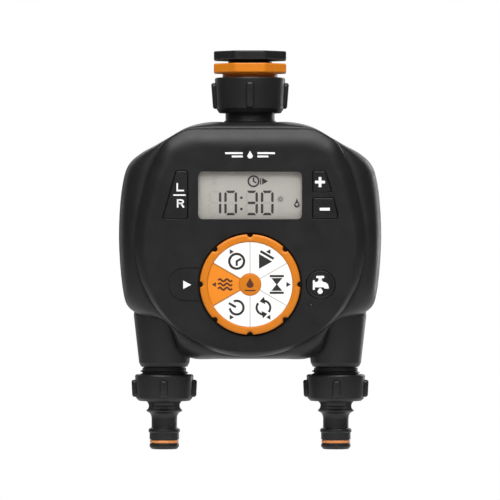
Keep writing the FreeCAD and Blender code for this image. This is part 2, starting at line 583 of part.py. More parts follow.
def battery_door():
    """Flat lid with grip ridges and a catch tongue, hung on a pin along its lower edge."""
    x1 = DOOR_HALF_X - DOOR_GAP
    z0, z1 = DOOR_LOW_Z + DOOR_GAP, DOOR_TOP_Z - DOOR_GAP
    lid_y, face_y = BACK_Y - LID_T, BACK_Y + LID_PROUD
    lid = plate(-x1, x1, z0, z1, lid_y, face_y, DOOR_CORNER_R)
    ridges = []
    for i in range(RIDGES):
        ridge_z = DOOR_TOP_Z - RIDGE_DROP - RIDGE_PITCH * i
        ridges.append(block(-RIDGE_HALF_X, RIDGE_HALF_X, face_y, BACK_Y + RIDGE_HEIGHT,
                            ridge_z - RIDGE_PITCH / 2, ridge_z))
    tongue = block(-7, 7, lid_y - 2.0, lid_y, z1 - 1.8, z1 - 0.2)
    arm = block(DOOR_KNUCKLE_X[0], DOOR_KNUCKLE_X[1], BACK_Y - 1.2, HINGE_Y, HINGE_Z, DOOR_LOW_Z + 1.2)
    barrel = knuckle(*DOOR_KNUCKLE_X)
    hole = pin_hole(DOOR_KNUCKLE_X[0] - 1, DOOR_KNUCKLE_X[1] + 1, HINGE_PIN_R + 0.08)
    return cut(fused([lid, tongue, arm, barrel] + ridges), [hole])


def hinge_pin():
    return pin_hole(KNUCKLE_X[0][0], KNUCKLE_X[1][1], HINGE_PIN_R)


def battery_tray():
    """Open-backed box that holds the four cells across the housing."""
    z1 = CELL_TOP_Z + CELL_R + 0.1
    z0 = CELL_TOP_Z - (CELLS - 1) * CELL_PITCH - CELL_R - 0.1
    wall = TRAY_WALL
    box = block(-TRAY_HALF_X, TRAY_HALF_X, TRAY_FRONT_Y, TRAY_BACK_Y - 0.2, z0 - wall, z1 + wall)
    room = block(-TRAY_HALF_X + wall, TRAY_HALF_X - wall, TRAY_FRONT_Y + wall, TRAY_BACK_Y + 1, z0, z1)
    fins = []
    for i in range(CELLS - 1):
        z = CELL_TOP_Z - (i + 0.5) * CELL_PITCH
        fins.append(block(-20, 20, TRAY_FRONT_Y + wall - 0.1, CELL_Y - 4.5, z - 0.25, z + 0.25))
    return fused([cut(box, [room])] + fins)


def batteries():
    """Four dry cells, every other one turned end for end."""
    cells, half, tip_t = [], CELL_LENGTH / 2, 1.5
    for i in range(CELLS):
        z, way = CELL_TOP_Z - i * CELL_PITCH, (1 if i % 2 == 0 else -1)
        can = Part.makeCylinder(CELL_R, CELL_LENGTH - tip_t, vec(-way * half, CELL_Y, z), X_AXIS * way)
        tip = Part.makeCylinder(2.7, tip_t, vec(way * (half - tip_t), CELL_Y, z), X_AXIS * way)
        cells.append(fused([can, tip]))
    return Part.makeCompound(cells)


def battery_contacts():
    """Plain strip at each positive end and a strip with a pressed spring cone at each negative end."""
    strips = []
    wall, half = TRAY_HALF_X - TRAY_WALL, CONTACT_HALF
    for i in range(CELLS):
        z, way = CELL_TOP_Z - i * CELL_PITCH, (1 if i % 2 == 0 else -1)
        for end in (way, -way):
            low_x, high_x = sorted((end * wall, end * (wall - CONTACT_T)))
            strip = block(low_x, high_x, CELL_Y - half, CELL_Y + half, z - half, z + half)
            if end == -way:
                foot = vec(end * (wall - CONTACT_T), CELL_Y, z)
                strip = fused([strip, Part.makeCone(3.2, 1.2, 2.0, foot, X_AXIS * way)])
            strips.append(strip)
    return Part.makeCompound(strips)


# ================================================================ front panel
def stadium(y_low, y_high, margin):
    """Pointer tab outline: a bar towards the dial with a round outer end."""
    half = POINTER_HALF_Z - margin
    end = peg(half, y_low, y_high, POINTER_END_X, DIAL_Z)
    bar = block(POINTER_END_X, -20, y_low, y_high, DIAL_Z - half, DIAL_Z + half)
    return fused([end, bar])


def front_cover():
    """Shield-shaped face plate with the display window, key holes and dial recess."""
    outer = fused([prism(RIM_HALF, COVER_BACK_Y, COVER_EDGE_Y),
                   loft(swell(RIM_HALF, FACE_HALF, COVER_EDGE_Y, FRONT_FACE_Y, power=COVER_POWER))])
    hollow = loft(swell(RIM_HALF, FACE_HALF, COVER_EDGE_Y, COVER_INNER_Y, WALL, COVER_POWER))
    hollow_back = prism(inset(RIM_HALF, WALL), COVER_BACK_Y + 0.5, COVER_EDGE_Y)
    shell = cut(outer, [hollow, hollow_back])
    backing = peg(RECESS_R + 1.1, COVER_INNER_Y - 0.5, RECESS_BACK_Y, 0, DIAL_Z)
    sockets = [peg(3.0, COVER_INNER_Y - 0.5, COVER_BACK_Y, x, z).common(outer) for x, z in both(COVER_SCREWS)]
    pillars = [peg(2.6, COVER_INNER_Y - 0.5, PCB_FRONT_Y, x, z) for x, z in both(PCB_SCREWS)]
    shell = fused([shell, backing] + sockets + pillars)
    y0, y1 = FRONT_FACE_Y - 1, COVER_INNER_Y + 1
    tools = [plate(-LCD_HALF_X, LCD_HALF_X, LCD_LOW_Z, LCD_TOP_Z, y0, y1, 2.0)]
    tools += [slab(key, y0, y1, KEY_CORNER_R) for key in (SIDE_KEY, PLUS_KEY, MINUS_KEY)]
    tools.append(peg(MANUAL_R, y0, y1, MANUAL_X, MANUAL_Z))
    tools.append(peg(RECESS_R, y0, RECESS_FLOOR_Y, 0, DIAL_Z))
    tools.append(peg(SHAFT_R + 0.12, y0, RECESS_BACK_Y + 1, 0, DIAL_Z))
    tools.append(peg(LED_R + 0.05, y0, RECESS_BACK_Y + 1, LED_X, LED_Z))
    groove_floor = FRONT_FACE_Y + GROOVE_DEPTH
    tools.append(cut(stadium(y0, groove_floor, 0.0), [stadium(y0 - 1, groove_floor + 1, GROOVE_WIDTH)]))
    tools += [peg(1.2, COVER_INNER_Y - 0.2 + 1, COVER_BACK_Y + 1, x, z) for x, z in both(COVER_SCREWS)]
    tools += [peg(1.0, PCB_FRONT_Y - 6, PCB_FRONT_Y + 1, x, z) for x, z in both(PCB_SCREWS)]
    return cut(shell, tools)


def cover_gasket():
    """Flat seal on the ledge, inside the cover's wall."""
    y0, y1 = COVER_BACK_Y - 0.9, COVER_BACK_Y
    middle = prism(inset(RIM_HALF, LEDGE_WIDTH - 0.2), y0 - 1, y1 + 1)
    solid = cut(prism(inset(RIM_HALF, WALL + 0.15), y0, y1), [middle])
    holes = [peg(3.2, y0 - 1, y1 + 1, x, z) for x, z in both(COVER_SCREWS)]
    return Part.makeCompound([s for s in cut(solid, holes).Solids if s.Volume > 1.0])


def front_cover_screws():
    return Part.makeCompound([screw(x, LEDGE_Y, z, 2.6, 1.2, 6.5, -1) for x, z in both(COVER_SCREWS)])


def lcd_window():
    """Clear pane that fills the window flush with the face, with a hidden flange glued behind it."""
    pane = plate(-LCD_HALF_X + 0.1, LCD_HALF_X - 0.1, LCD_LOW_Z + 0.1, LCD_TOP_Z - 0.1,
                 FRONT_FACE_Y + 0.4, COVER_INNER_Y + 0.1, 1.9)
    flange = plate(-LCD_HALF_X - LCD_LIP, LCD_HALF_X + LCD_LIP, LCD_LOW_Z - LCD_LIP, LCD_TOP_Z + LCD_LIP,
                   COVER_INNER_Y, COVER_INNER_Y + 1.1, 1.5)
    return fused([pane, flange])


def lcd_glass():
    """Display glass, a little wider than its window."""
    front = COVER_INNER_Y + 1.2
    return plate(-LCD_HALF_X - 1.0, LCD_HALF_X + 1.0, LCD_LOW_Z - 1.0, LCD_TOP_Z + 1.0, front, front + 1.8)


def lcd_frame():
    """Tray that holds the display glass up to the window, off the circuit board."""
    margin, wall = 1.2, 1.0
    x, z0, z1 = LCD_HALF_X + margin, LCD_LOW_Z - margin, LCD_TOP_Z + margin
    front = COVER_INNER_Y + 1.2
    outer = block(-x - wall, x + wall, front, PCB_FRONT_Y, z0 - wall, z1 + wall)
    seat = block(-x, x, front - 1, front + 1.9, z0, z1)
    light_well = block(-x + 3, x - 3, front - 1, PCB_FRONT_Y + 1, z0 + 3, z1 - 3)
    return cut(outer, [seat, light_well])


def main_pcb():
    """Circuit board with the chips and lead terminals on its back."""
    board = slab(BOARD_HALF + [(-x, z) for x, z in reversed(BOARD_HALF)], PCB_FRONT_Y, PCB_BACK_Y)
    holes = [peg(1.3, PCB_FRONT_Y - 1, PCB_BACK_Y + 1, x, z) for x, z in both(PCB_SCREWS)]
    holes.append(peg(7.2, PCB_FRONT_Y - 1, PCB_BACK_Y + 1, 0, DIAL_Z))
    board = cut(board, holes)
    chips = [plate(x0, x1, z0, z1, PCB_BACK_Y, PCB_BACK_Y + height) for x0, x1, z0, z1, height in CHIPS]
    return Part.makeCompound([board] + chips)


def pcb_screws():
    return Part.makeCompound([screw(x, PCB_BACK_Y, z, 2.0, 1.0, 5.5, -1) for x, z in both(PCB_SCREWS)])


def dial_switch():
    """Cup-shaped body of the rotary switch, fixed behind the board round the rotor."""
    low, high = PCB_BACK_Y, PCB_BACK_Y + 6.5
    room_r, hole_r, floor_t = SHAFT_R + 3.4, 2.6, 1.2
    return turned_y([(room_r, low), (SWITCH_R, low), (SWITCH_R, high), (hole_r, high),
                     (hole_r, high - floor_t), (room_r, high - floor_t)], 0, DIAL_Z)


def key(points, stem_x, stem_z):
    """Key cap with a flange that keeps it behind the cover, and a stem to its dome."""
    cap = slab(grown(points, -KEY_GAP), FRONT_FACE_Y - KEY_PROUD, KEY_FLANGE_Y + 0.5, KEY_CORNER_R - 0.2)
    flange = slab(grown(points, 1.0), KEY_FLANGE_Y, KEY_FLANGE_Y + KEY_FLANGE_T, KEY_CORNER_R)
    stem = peg(KEY_STEM_R, KEY_FLANGE_Y + 0.5, KEY_STEM_Y, stem_x, stem_z)
    return fused([cap, flange, stem])


def button_left_right():
    return key(SIDE_KEY, *SIDE_STEM)


def button_plus():
    return key(PLUS_KEY, *PLUS_STEM)


def button_minus():
    return key(MINUS_KEY, *MINUS_STEM)


def button_manual():
    """Round key, turned in one piece with its flange and stem."""
    cap_r, flange_r, flange_y = MANUAL_R - KEY_GAP, MANUAL_R + 0.9, KEY_FLANGE_Y + KEY_FLANGE_T
    profile = [(0, FRONT_FACE_Y - KEY_PROUD), (cap_r, FRONT_FACE_Y - KEY_PROUD), (cap_r, KEY_FLANGE_Y),
               (flange_r, KEY_FLANGE_Y), (flange_r, flange_y), (KEY_STEM_R, flange_y),
               (KEY_STEM_R, KEY_STEM_Y), (0, KEY_STEM_Y)]
    return turned_y(profile, MANUAL_X, MANUAL_Z)


def keypad_mat():
    """Silicone pads on the board with one dome under each key stem."""
    base_y = PCB_FRONT_Y - 1.0
    pads = [plate(x, x + 12, -92, -68, base_y, PCB_FRONT_Y, 1.5) for x in (-46, 34)]
    pads.append(peg(7.0, base_y, PCB_FRONT_Y, MANUAL_X, MANUAL_Z))
    domes = []
    for x, z in (SIDE_STEM, PLUS_STEM, MINUS_STEM, MANUAL_STEM):
        domes.append(turned_y([(0, base_y + 0.5), (3.4, base_y + 0.5), (3.4, base_y - 0.4),
                               (2.0, MAT_TOP_Y), (0, MAT_TOP_Y)], x, z))
    left, right, low = pads
    side, plus, minus, manual = domes
    return Part.makeCompound([fused([left, side]), fused([right, plus, minus]), fused([low, manual])])


def status_led():
    """Indicator lens: a thin light pipe to the face with a wider foot."""
    foot_y, back_y, foot_r = COVER_INNER_Y + 2.7, COVER_INNER_Y + 5.5, 1.5
    return turned_y([(0, FRONT_FACE_Y), (LED_R, FRONT_FACE_Y), (LED_R, foot_y), (foot_r, foot_y),
                     (foot_r, back_y), (0, back_y)], LED_X, LED_Z)


# ================================================================ dial
def dial_knob():
    """Orange knob: grip rim with eight notches, a sunk face for the label, a hub and a stem."""
    rim_r, floor_y = DIAL_R, DIAL_FRONT_Y + 0.9
    hub_y, stem_y, bevel = DIAL_FRONT_Y + 0.2, RECESS_BACK_Y + 0.6, 0.8
    points = [(0, hub_y), (HUB_R, hub_y), (HUB_R, floor_y), (LABEL_R, floor_y), (LABEL_R + 0.5, DIAL_FRONT_Y),
              (rim_r - bevel, DIAL_FRONT_Y), (rim_r, DIAL_FRONT_Y + bevel), (rim_r, DIAL_BACK_Y),
              (SHAFT_R, DIAL_BACK_Y), (SHAFT_R, stem_y), (0, stem_y)]
    body = turned_y(points, 0, DIAL_Z)
    notches = []
    for i in range(DIAL_NOTCHES):
        angle = 2 * math.pi * i / DIAL_NOTCHES
        reach = rim_r - NOTCH_DEPTH + NOTCH_R
        notches.append(peg(NOTCH_R, DIAL_FRONT_Y - 1, DIAL_BACK_Y + 1, reach * math.cos(angle),
                           DIAL_Z + reach * math.sin(angle)))
    socket = block(-SQUARE_HALF, SQUARE_HALF, RECESS_BACK_Y - 3.4, RECESS_BACK_Y + 1,
                   DIAL_Z - SQUARE_HALF, DIAL_Z + SQUARE_HALF)
    return cut(body, notches + [socket])


def dial_label():
    """Printed disc in the knob's face, round the hub."""
    floor_y = DIAL_FRONT_Y + 0.9
    return turned_y([(HUB_R + 0.1, floor_y - LABEL_T), (LABEL_R - 0.1, floor_y - LABEL_T),
                     (LABEL_R - 0.1, floor_y), (HUB_R + 0.1, floor_y)], 0, DIAL_Z)


def dial_shaft():
    """Square-ended spindle that carries the knob's turn into the switch rotor."""
    stem_y = RECESS_BACK_Y + 0.6
    square = block(-SQUARE_HALF, SQUARE_HALF, RECESS_BACK_Y - 3.4, stem_y,
                   DIAL_Z - SQUARE_HALF, DIAL_Z + SQUARE_HALF)
    neck_r, rotor_r, tail_r = SHAFT_R - 0.6, SHAFT_R + 2.8, 2.4
    rotor_y, rotor_back_y, tail_y = PCB_BACK_Y - 0.2, PCB_BACK_Y + 4.6, PCB_BACK_Y + 7.4
    profile = [(0, stem_y), (neck_r, stem_y), (neck_r, rotor_y), (rotor_r, rotor_y),
               (rotor_r, rotor_back_y), (tail_r, rotor_back_y), (tail_r, tail_y), (0, tail_y)]
    rotor = turned_y(profile, 0, DIAL_Z)
    return fused([square, rotor])


def dial_spring_clip():
    """Open ring on the stem behind the cover that keeps the knob in."""
    clip = turned_y([(SHAFT_R - 0.55, RECESS_BACK_Y + 0.8), (SHAFT_R + 1.6, RECESS_BACK_Y + 0.8),
                     (SHAFT_R + 1.6, RECESS_BACK_Y + 1.6), (SHAFT_R - 0.55, RECESS_BACK_Y + 1.6)], 0, DIAL_Z)
    return cut(clip, [block(0, 8, RECESS_BACK_Y, RECESS_BACK_Y + 3, DIAL_Z - 1.4, DIAL_Z + 1.4)])


# ================================================================ water path and valves
def valve_manifold():
    """Socket for the inlet spigot, a down pipe, a cross gallery, two valve chambers and two outlets."""
    socket_r, pipe_r, pipe_bore, gallery_r, gallery_bore = 14.0, 8.6, 6.5, 7.0, 5.0
    socket_top, socket_floor = SPIGOT_FLANGE_Z - 2.4, SPIGOT_TAIL_Z - 0.3
    solids = [rod(socket_r, socket_floor - 2.5, socket_top), rod(pipe_r, GALLERY_Z, socket_floor),
              Part.makeSphere(pipe_r, vec(0, 0, GALLERY_Z)),
              Part.makeCylinder(gallery_r, 2 * OUTLET_X, vec(-OUTLET_X, 0, GALLERY_Z), X_AXIS)]
    tools = [rod(SPIGOT_TAIL_R + 0.12, socket_floor, socket_top + 1),
             rod(pipe_bore, GALLERY_Z, socket_floor + 1),
             Part.makeCylinder(gallery_bore, 2 * OUTLET_X - 14, vec(7 - OUTLET_X, 0, GALLERY_Z), X_AXIS)]
    seats = []
    for side in (-1, 1):
        x = side * OUTLET_X
        male = thread(G34_MAJOR_R, G34_PITCH, OUTLET_THREAD_Z, 0, OUTLET_TURNS)
        profile = [(0, CHAMBER_TOP_Z), (CHAMBER_R, CHAMBER_TOP_Z), (CHAMBER_R, CHAMBER_LOW_Z),
                   (SPIGOT_R, CHAMBER_LOW_Z), (SPIGOT_R, LEG_END_Z - 0.4), (male[0][0], LEG_END_Z - 0.4)]
        profile += male + [(male[0][0] - 0.6, SPIGOT_END_Z), (0, SPIGOT_END_Z)]
        solids.append(turned(profile, x))
        tools.append(rod(CHAMBER_BORE_R, CHAMBER_FLOOR_Z, CHAMBER_TOP_Z + 1, x))
        tools.append(rod(SPIGOT_BORE_R, SPIGOT_END_Z - 1, CHAMBER_LOW_Z - 2.5, x))
        tools.append(rod(SEAT_BORE_R, CHAMBER_LOW_Z - 3, CHAMBER_FLOOR_Z + 1, x))
        seats.append(ring(SEAT_R, SEAT_BORE_R, CHAMBER_FLOOR_Z - 0.5, SEAT_TOP_Z, x))
        for angle in BONNET_SCREW_ANGLES:
            sx, sy = bonnet_screw_place(x, angle)
            tools.append(rod(1.0, CHAMBER_TOP_Z - 9, CHAMBER_TOP_Z + 1, sx, sy))
    return fused([cut(fused(solids), tools)] + seats)


def bonnet_screw_place(x, angle):
    radians = math.radians(angle)
    return x + BONNET_SCREW_OFFSET * math.cos(radians), BONNET_SCREW_OFFSET * math.sin(radians)


def diaphragm(x):
    """Rubber disc held at its bead, with a thick pad that closes the seat."""
    top, low = CHAMBER_TOP_Z + 0.4, SEAT_TOP_Z
    return turned([(0, low), (7.2, low), (7.2, low + 1.2), (9.0, top - 0.9), (DIAPHRAGM_R, top - 0.9),
                   (DIAPHRAGM_R, top + 0.6), (10.4, top + 0.6), (10.4, top), (8.6, top), (6.6, low + 2.2),
                   (0, low + 2.2)], x)


def bonnet(x):
    """Valve lid with the guide tube that the plunger slides in."""
    low, flange_top, dome_top = CHAMBER_TOP_Z, CHAMBER_TOP_Z + 3.6, CHAMBER_TOP_Z + 14
    bore_r = PLUNGER_R + 0.1
    points = [(CHAMBER_BORE_R, low), (CHAMBER_R, low), (CHAMBER_R, flange_top), (11.2, flange_top),
              (9.6, dome_top), (GUIDE_R, dome_top), (GUIDE_R, GUIDE_TOP_Z), (0, GUIDE_TOP_Z),
              (0, SPRING_TOP_Z),
              (bore_r, SPRING_TOP_Z), (bore_r, PLUNGER_LOW_Z), (8.4, PLUNGER_LOW_Z), (10.0, low + 2.2),
              (CHAMBER_BORE_R, low + 2.2)]
    solid = turned(points, x)
    holes = []
    for angle in BONNET_SCREW_ANGLES:
        sx, sy = bonnet_screw_place(x, angle)
        holes.append(rod(1.15, low - 1, flange_top + 1, sx, sy))
    return cut(solid, holes)


def plunger(x):
    """Iron plunger with a small pilot tip."""
    tip_z = PLUNGER_LOW_Z - 3.4
    return turned([(0, tip_z), (1.2, tip_z), (2.2, PLUNGER_LOW_Z), (PLUNGER_R, PLUNGER_LOW_Z),
                   (PLUNGER_R, PLUNGER_TOP_Z), (0, PLUNGER_TOP_Z)], x)


def plunger_spring(x):
    """Light helical spring above the plunger."""
    wire_r, coil_r, turns = 0.3, 2.9, 5
    height = SPRING_TOP_Z - PLUNGER_TOP_Z - 2 * wire_r - 0.1
    coil = Part.makeHelix(height / turns, height, coil_r, 0)
    section = Part.Wire(Part.makeCircle(wire_r, vec(coil_r, 0, 0), vec(0, 1, 0)))
    spring = Part.Wire(coil.Edges).makePipeShell([section], True, True)
    return moved(spring, x, 0, PLUNGER_TOP_Z + wire_r + 0.05)


def solenoid(x):
    """Wound coil on its bobbin, inside a flat steel yoke."""
    inner = GUIDE_R + 0.1
    tube_r, cheek_low, cheek_top = inner + 1.2, COIL_LOW_Z + 1.4, COIL_TOP_Z - 1.4
    bobbin = turned([(inner, COIL_LOW_Z), (COIL_R, COIL_LOW_Z), (COIL_R, cheek_low), (tube_r, cheek_low),
                     (tube_r, cheek_top), (COIL_R, cheek_top), (COIL_R, COIL_TOP_Z), (inner, COIL_TOP_Z)], x)
    winding = ring(COIL_R - 1.0, tube_r + 0.05, cheek_low + 0.05, cheek_top - 0.05, x)
    outer = block(x - 6, x + 6, -COIL_R - 1.4, COIL_R + 1.4, COIL_LOW_Z - 1.3, COIL_TOP_Z + 1.3)
    room = block(x - 7, x + 7, -COIL_R - 0.1, COIL_R + 0.1, COIL_LOW_Z - 0.05, COIL_TOP_Z + 0.05)
    yoke = cut(outer, [room, rod(inner, COIL_LOW_Z - 3, COIL_TOP_Z + 3, x)])
    return Part.makeCompound([bobbin, winding, yoke])


def valve_bonnet_screws():
    """Four cap screws on each valve lid."""
    screws, head_z = [], CHAMBER_TOP_Z + 3.6
    tip_z, top_z, shank_r, head_r = head_z - 9.5, head_z + 1.3, 1.0, 1.55
    for side in (-1, 1):
        for angle in BONNET_SCREW_ANGLES:
            x, y = bonnet_screw_place(side * OUTLET_X, angle)
            screws.append(turned([(0, tip_z), (shank_r, tip_z), (shank_r, head_z), (head_r, head_z),
                                  (head_r, top_z), (0, top_z)], x, y))
    return Part.makeCompound(screws)


def solenoid_lead(side):
    """Twin lead from a solenoid to its terminal on the board."""
    x = side * OUTLET_X
    return pipe([(x - side * inward, y, z) for inward, y, z in SOLENOID_LEAD], LEAD_R)


def battery_lead():
    """Twin lead from the battery tray, past the down pipe, to the board."""
    return pipe(BATTERY_LEAD, LEAD_R)


# ================================================================ outlet connectors
def tap_connector(x):
    """Nut with grip ribs and a quick-connect nose, in one moulding."""
    female = thread(G34_MAJOR_R, G34_PITCH, OUTLET_THREAD_Z, HIDDEN_TURNS, OUTLET_TURNS, THREAD_PLAY)
    entry_r, chamber_r = G34_MAJOR_R + THREAD_PLAY, 13.7
    washer_floor = SPIGOT_END_Z - WASHER_T - 0.2
    entry_z = OUTLET_THREAD_Z - HIDDEN_TURNS * G34_PITCH + 0.6
    points = [(entry_r, CON_TOP_Z), (entry_r, entry_z)] + female
    points += [(chamber_r, female[-1][1]), (chamber_r, washer_floor), (CON_BORE_R, washer_floor)]
    groove_r, groove_half = ORING_R - 2 * ORING_WIRE_R - 0.03, ORING_WIRE_R + 0.05
    points += [(CON_BORE_R, NOSE_END_Z), (NOSE_R - 0.9, NOSE_END_Z), (NOSE_R, NOSE_END_Z + 1.0),
               (NOSE_R, ORING_Z - groove_half), (groove_r, ORING_Z - groove_half),
               (groove_r, ORING_Z + groove_half), (NOSE_R, ORING_Z + groove_half),
               (NOSE_R, FLANGE_LOW_Z - 0.6), (FLANGE_R, FLANGE_LOW_Z), (FLANGE_R, FLANGE_TOP_Z),
               (FLANGE_R - 0.5, FLANGE_TOP_Z + 0.5),
               (NOSE_NECK_R, FLANGE_TOP_Z + 0.9), (NOSE_NECK_R, COLLAR_LOW_Z - 3.8),
               (NOSE_NECK_R + 0.45, COLLAR_LOW_Z - 2.0), (NOSE_NECK_R + 1.5, COLLAR_LOW_Z - 0.8),
               (COLLAR_R, COLLAR_LOW_Z + 0.3), (COLLAR_R, CON_LOW_Z), (CON_LOW_R - 1.3, CON_LOW_Z),
               (CON_LOW_R, CON_LOW_Z + 1.3), (CON_TOP_R, CON_TOP_Z - 0.7), (CON_TOP_R - 0.7, CON_TOP_Z)]
    grip = ribs(CON_LOW_R - 0.6, CON_RIB_R, CON_RIB_R - 0.5, CON_RIB_TOP_Z, CON_RIB_LOW_Z,
                CON_RIB_WIDTH, x)
    body = fused([turned(points, x)] + grip)
    scoop = Part.makeCylinder(SCOOP_R, 12.0, vec(x - 6, -SCOOP_Y, COLLAR_MIDDLE_Z), X_AXIS)
    return cut(body, [turned_by(scoop, 360 / RIBS * i, x) for i in range(RIBS)])


def outlet_washer(x):
    return ring(13.4, 7.4, SPIGOT_END_Z - WASHER_T - 0.15, SPIGOT_END_Z - 0.15, x)


def outlet_oring(x):
    return Part.makeTorus(ORING_R - ORING_WIRE_R, ORING_WIRE_R, vec(x, 0, ORING_Z), Z_AXIS)


# ================================================================ export
NODES = {
    "tap_reducer": tap_reducer(),
    "reducer_washer": reducer_washer(),
    "tap_adaptor": tap_adaptor(),
    "adaptor_washer": adaptor_washer(),
    "inlet_filter": inlet_filter(),
    "inlet_swivel_nut": inlet_swivel_nut(),
    "nut_retaining_ring": nut_retaining_ring(),
    "inlet_spigot": inlet_spigot(),
    "spigot_oring": spigot_oring(),
    "main_housing": main_housing(),
    "rear_cover": rear_cover(),
    "housing_gasket": housing_gasket(),
    "rear_cover_screws": rear_cover_screws(),
    "battery_door": battery_door(),
    "door_hinge_pin": hinge_pin(),
    "battery_tray": battery_tray(),
    "batteries": batteries(),
    "battery_contacts": battery_contacts(),
    "front_cover": front_cover(),
    "cover_gasket": cover_gasket(),
    "front_cover_screws": front_cover_screws(),
    "lcd_window": lcd_window(),
    "lcd_glass": lcd_glass(),
    "lcd_frame": lcd_frame(),
    "main_pcb": main_pcb(),
    "pcb_screws": pcb_screws(),
    "dial_switch": dial_switch(),
    "keypad_mat": keypad_mat(),
    "button_left_right": button_left_right(),
    "button_plus": button_plus(),
    "button_minus": button_minus(),
    "button_manual": button_manual(),
    "status_led": status_led(),
    "dial_knob": dial_knob(),
    "dial_label": dial_label(),
    "dial_shaft": dial_shaft(),
    "dial_spring_clip": dial_spring_clip(),
    "valve_manifold": valve_manifold(),
    "valve_bonnet_screws": valve_bonnet_screws(),
    "battery_lead": battery_lead(),
}
for name, side in SIDES.items():
    x = side * OUTLET_X
    NODES[name + "_diaphragm"] = diaphragm(x)
    NODES[name + "_valve_bonnet"] = bonnet(x)
    NODES[name + "_solenoid"] = solenoid(x)
    NODES[name + "_plunger"] = plunger(x)
    NODES[name + "_plunger_spring"] = plunger_spring(x)
    NODES[name + "_solenoid_lead"] = solenoid_lead(side)
    NODES[name + "_tap_connector"] = tap_connector(x)
    NODES[name + "_outlet_washer"] = outlet_washer(x)
    NODES[name + "_outlet_oring"] = outlet_oring(x)

os.makedirs("parts", exist_ok=True)
for name, shape in NODES.items():
    shape.exportStep("parts/" + name + ".step")
    print(name, len(shape.Solids), round(shape.Volume, 1), shape.isValid())
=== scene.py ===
"""Looks for the two-outlet garden tap timer: fine meshes, moulded-plastic materials, light and camera.

Lengths are written in millimetres, as on a drawing, and turned into metres by the mesh helpers.
Every piece is in the CAD frame: +Z up, the front face looks along -Y, origin at the inlet mouth.
"""
import math

import bmesh
import bpy
from mathutils import Matrix, Vector
from mathutils.geometry import delaunay_2d_cdt


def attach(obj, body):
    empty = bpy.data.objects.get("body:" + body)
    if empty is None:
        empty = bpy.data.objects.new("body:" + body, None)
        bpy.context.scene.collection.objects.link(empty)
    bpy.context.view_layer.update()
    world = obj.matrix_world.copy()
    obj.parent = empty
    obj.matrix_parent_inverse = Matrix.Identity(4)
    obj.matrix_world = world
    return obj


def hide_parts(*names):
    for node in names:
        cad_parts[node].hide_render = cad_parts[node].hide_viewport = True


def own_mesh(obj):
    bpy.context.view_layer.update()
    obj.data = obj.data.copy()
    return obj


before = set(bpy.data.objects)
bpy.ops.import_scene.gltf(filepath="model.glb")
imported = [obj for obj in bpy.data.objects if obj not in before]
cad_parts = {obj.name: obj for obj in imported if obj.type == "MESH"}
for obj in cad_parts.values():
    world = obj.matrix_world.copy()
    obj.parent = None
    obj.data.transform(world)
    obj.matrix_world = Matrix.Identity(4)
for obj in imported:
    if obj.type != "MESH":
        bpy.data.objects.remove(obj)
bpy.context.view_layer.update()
MM = 0.001

# ---------------------------------------------------------------- sizes in millimetres
OUTLET_X = 47.5
FRONT_Y, COVER_EDGE_Y, COVER_BACK_Y = -36.0, -30.5, -28.0
KEY_PROUD = 0.3
BULGE_Y, PARTING_Y, BACK_Y = -8.0, 17.5, 36.0
WALL = 2.4
DIAL_Z, DIAL_R, RECESS_R = -128.6, 27.4, 28.3
DIAL_FRONT_Y, DIAL_BACK_Y = -38.8, -33.5
HUB_Y, LABEL_Y = DIAL_FRONT_Y + 0.2, DIAL_FRONT_Y + 0.5
LCD_HALF_X, LCD_TOP_Z, LCD_LOW_Z = 28.4, -67.0, -92.9
# Corners of the keys beside the display.
SIDE_KEY = [(-40.6, -66.3), (-33.8, -66.3), (-33.8, -93.0), (-48.2, -93.0)]
PLUS_KEY = [(34.0, -66.5), (41.2, -66.5), (45.2, -78.4), (34.0, -78.4)]
MINUS_KEY = [(34.0, -81.1), (45.9, -81.1), (48.6, -92.9), (34.0, -92.9)]
KEY_CORNER_R, KEY_GAP = 1.6, 0.35
MANUAL_X, MANUAL_Z, MANUAL_R = 38.6, -128.8, 8.1
INNER_Y, RECESS_Y, RECESS_BACK_Y, LCD_Y = -33.6, -33.2, -31.0, -32.4
PCB_SCREWS = [(side * x, z) for x, z in ((24.0, -60.5), (22.0, -145.0)) for side in (-1, 1)]
GALLERY_Z = -128.0
HINGE_Y, HINGE_Z, HINGE_R = 37.6, -157.6, 2.4
BODY_SCREWS = [(side * x, z) for x, z in ((38.0, -52.6), (57.0, -98.0), (40.0, -147.0)) for side in (-1, 1)]
LED_X, LED_Z, LED_R = 33.4, -140.2, 0.85

# Right half outlines from top centre to bottom centre, as (x, z).
BODY_HALF = [
    (0.0, -39.2), (11.3, -39.2), (22.7, -39.2), (33.8, -41.8), (44.0, -47.5), (52.3, -52.1),
    (60.5, -56.6), (66.9, -62.6), (70.2, -72.5), (72.4, -103.0), (69.7, -134.5), (67.6, -140.6),
    (63.0, -144.5), (55.3, -147.1), (47.5, -149.6), (43.7, -152.7), (41.9, -157.5), (39.4, -164.8),
    (32.7, -169.4), (16.4, -169.9), (0.0, -169.9),
]
RIM_HALF = [
    (0.0, -43.0), (11.3, -43.0), (22.7, -43.0), (35.0, -43.6), (44.0, -48.1), (47.8, -51.2),
    (50.6, -55.4), (53.7, -62.0), (56.4, -69.0), (63.4, -103.0), (60.2, -124.8), (57.4, -131.8),
    (53.9, -138.3), (50.6, -143.1), (46.9, -147.6), (43.9, -150.6), (40.8, -153.4), (35.2, -157.6),
    (29.0, -161.3), (14.8, -166.5), (0.0, -168.3),
]
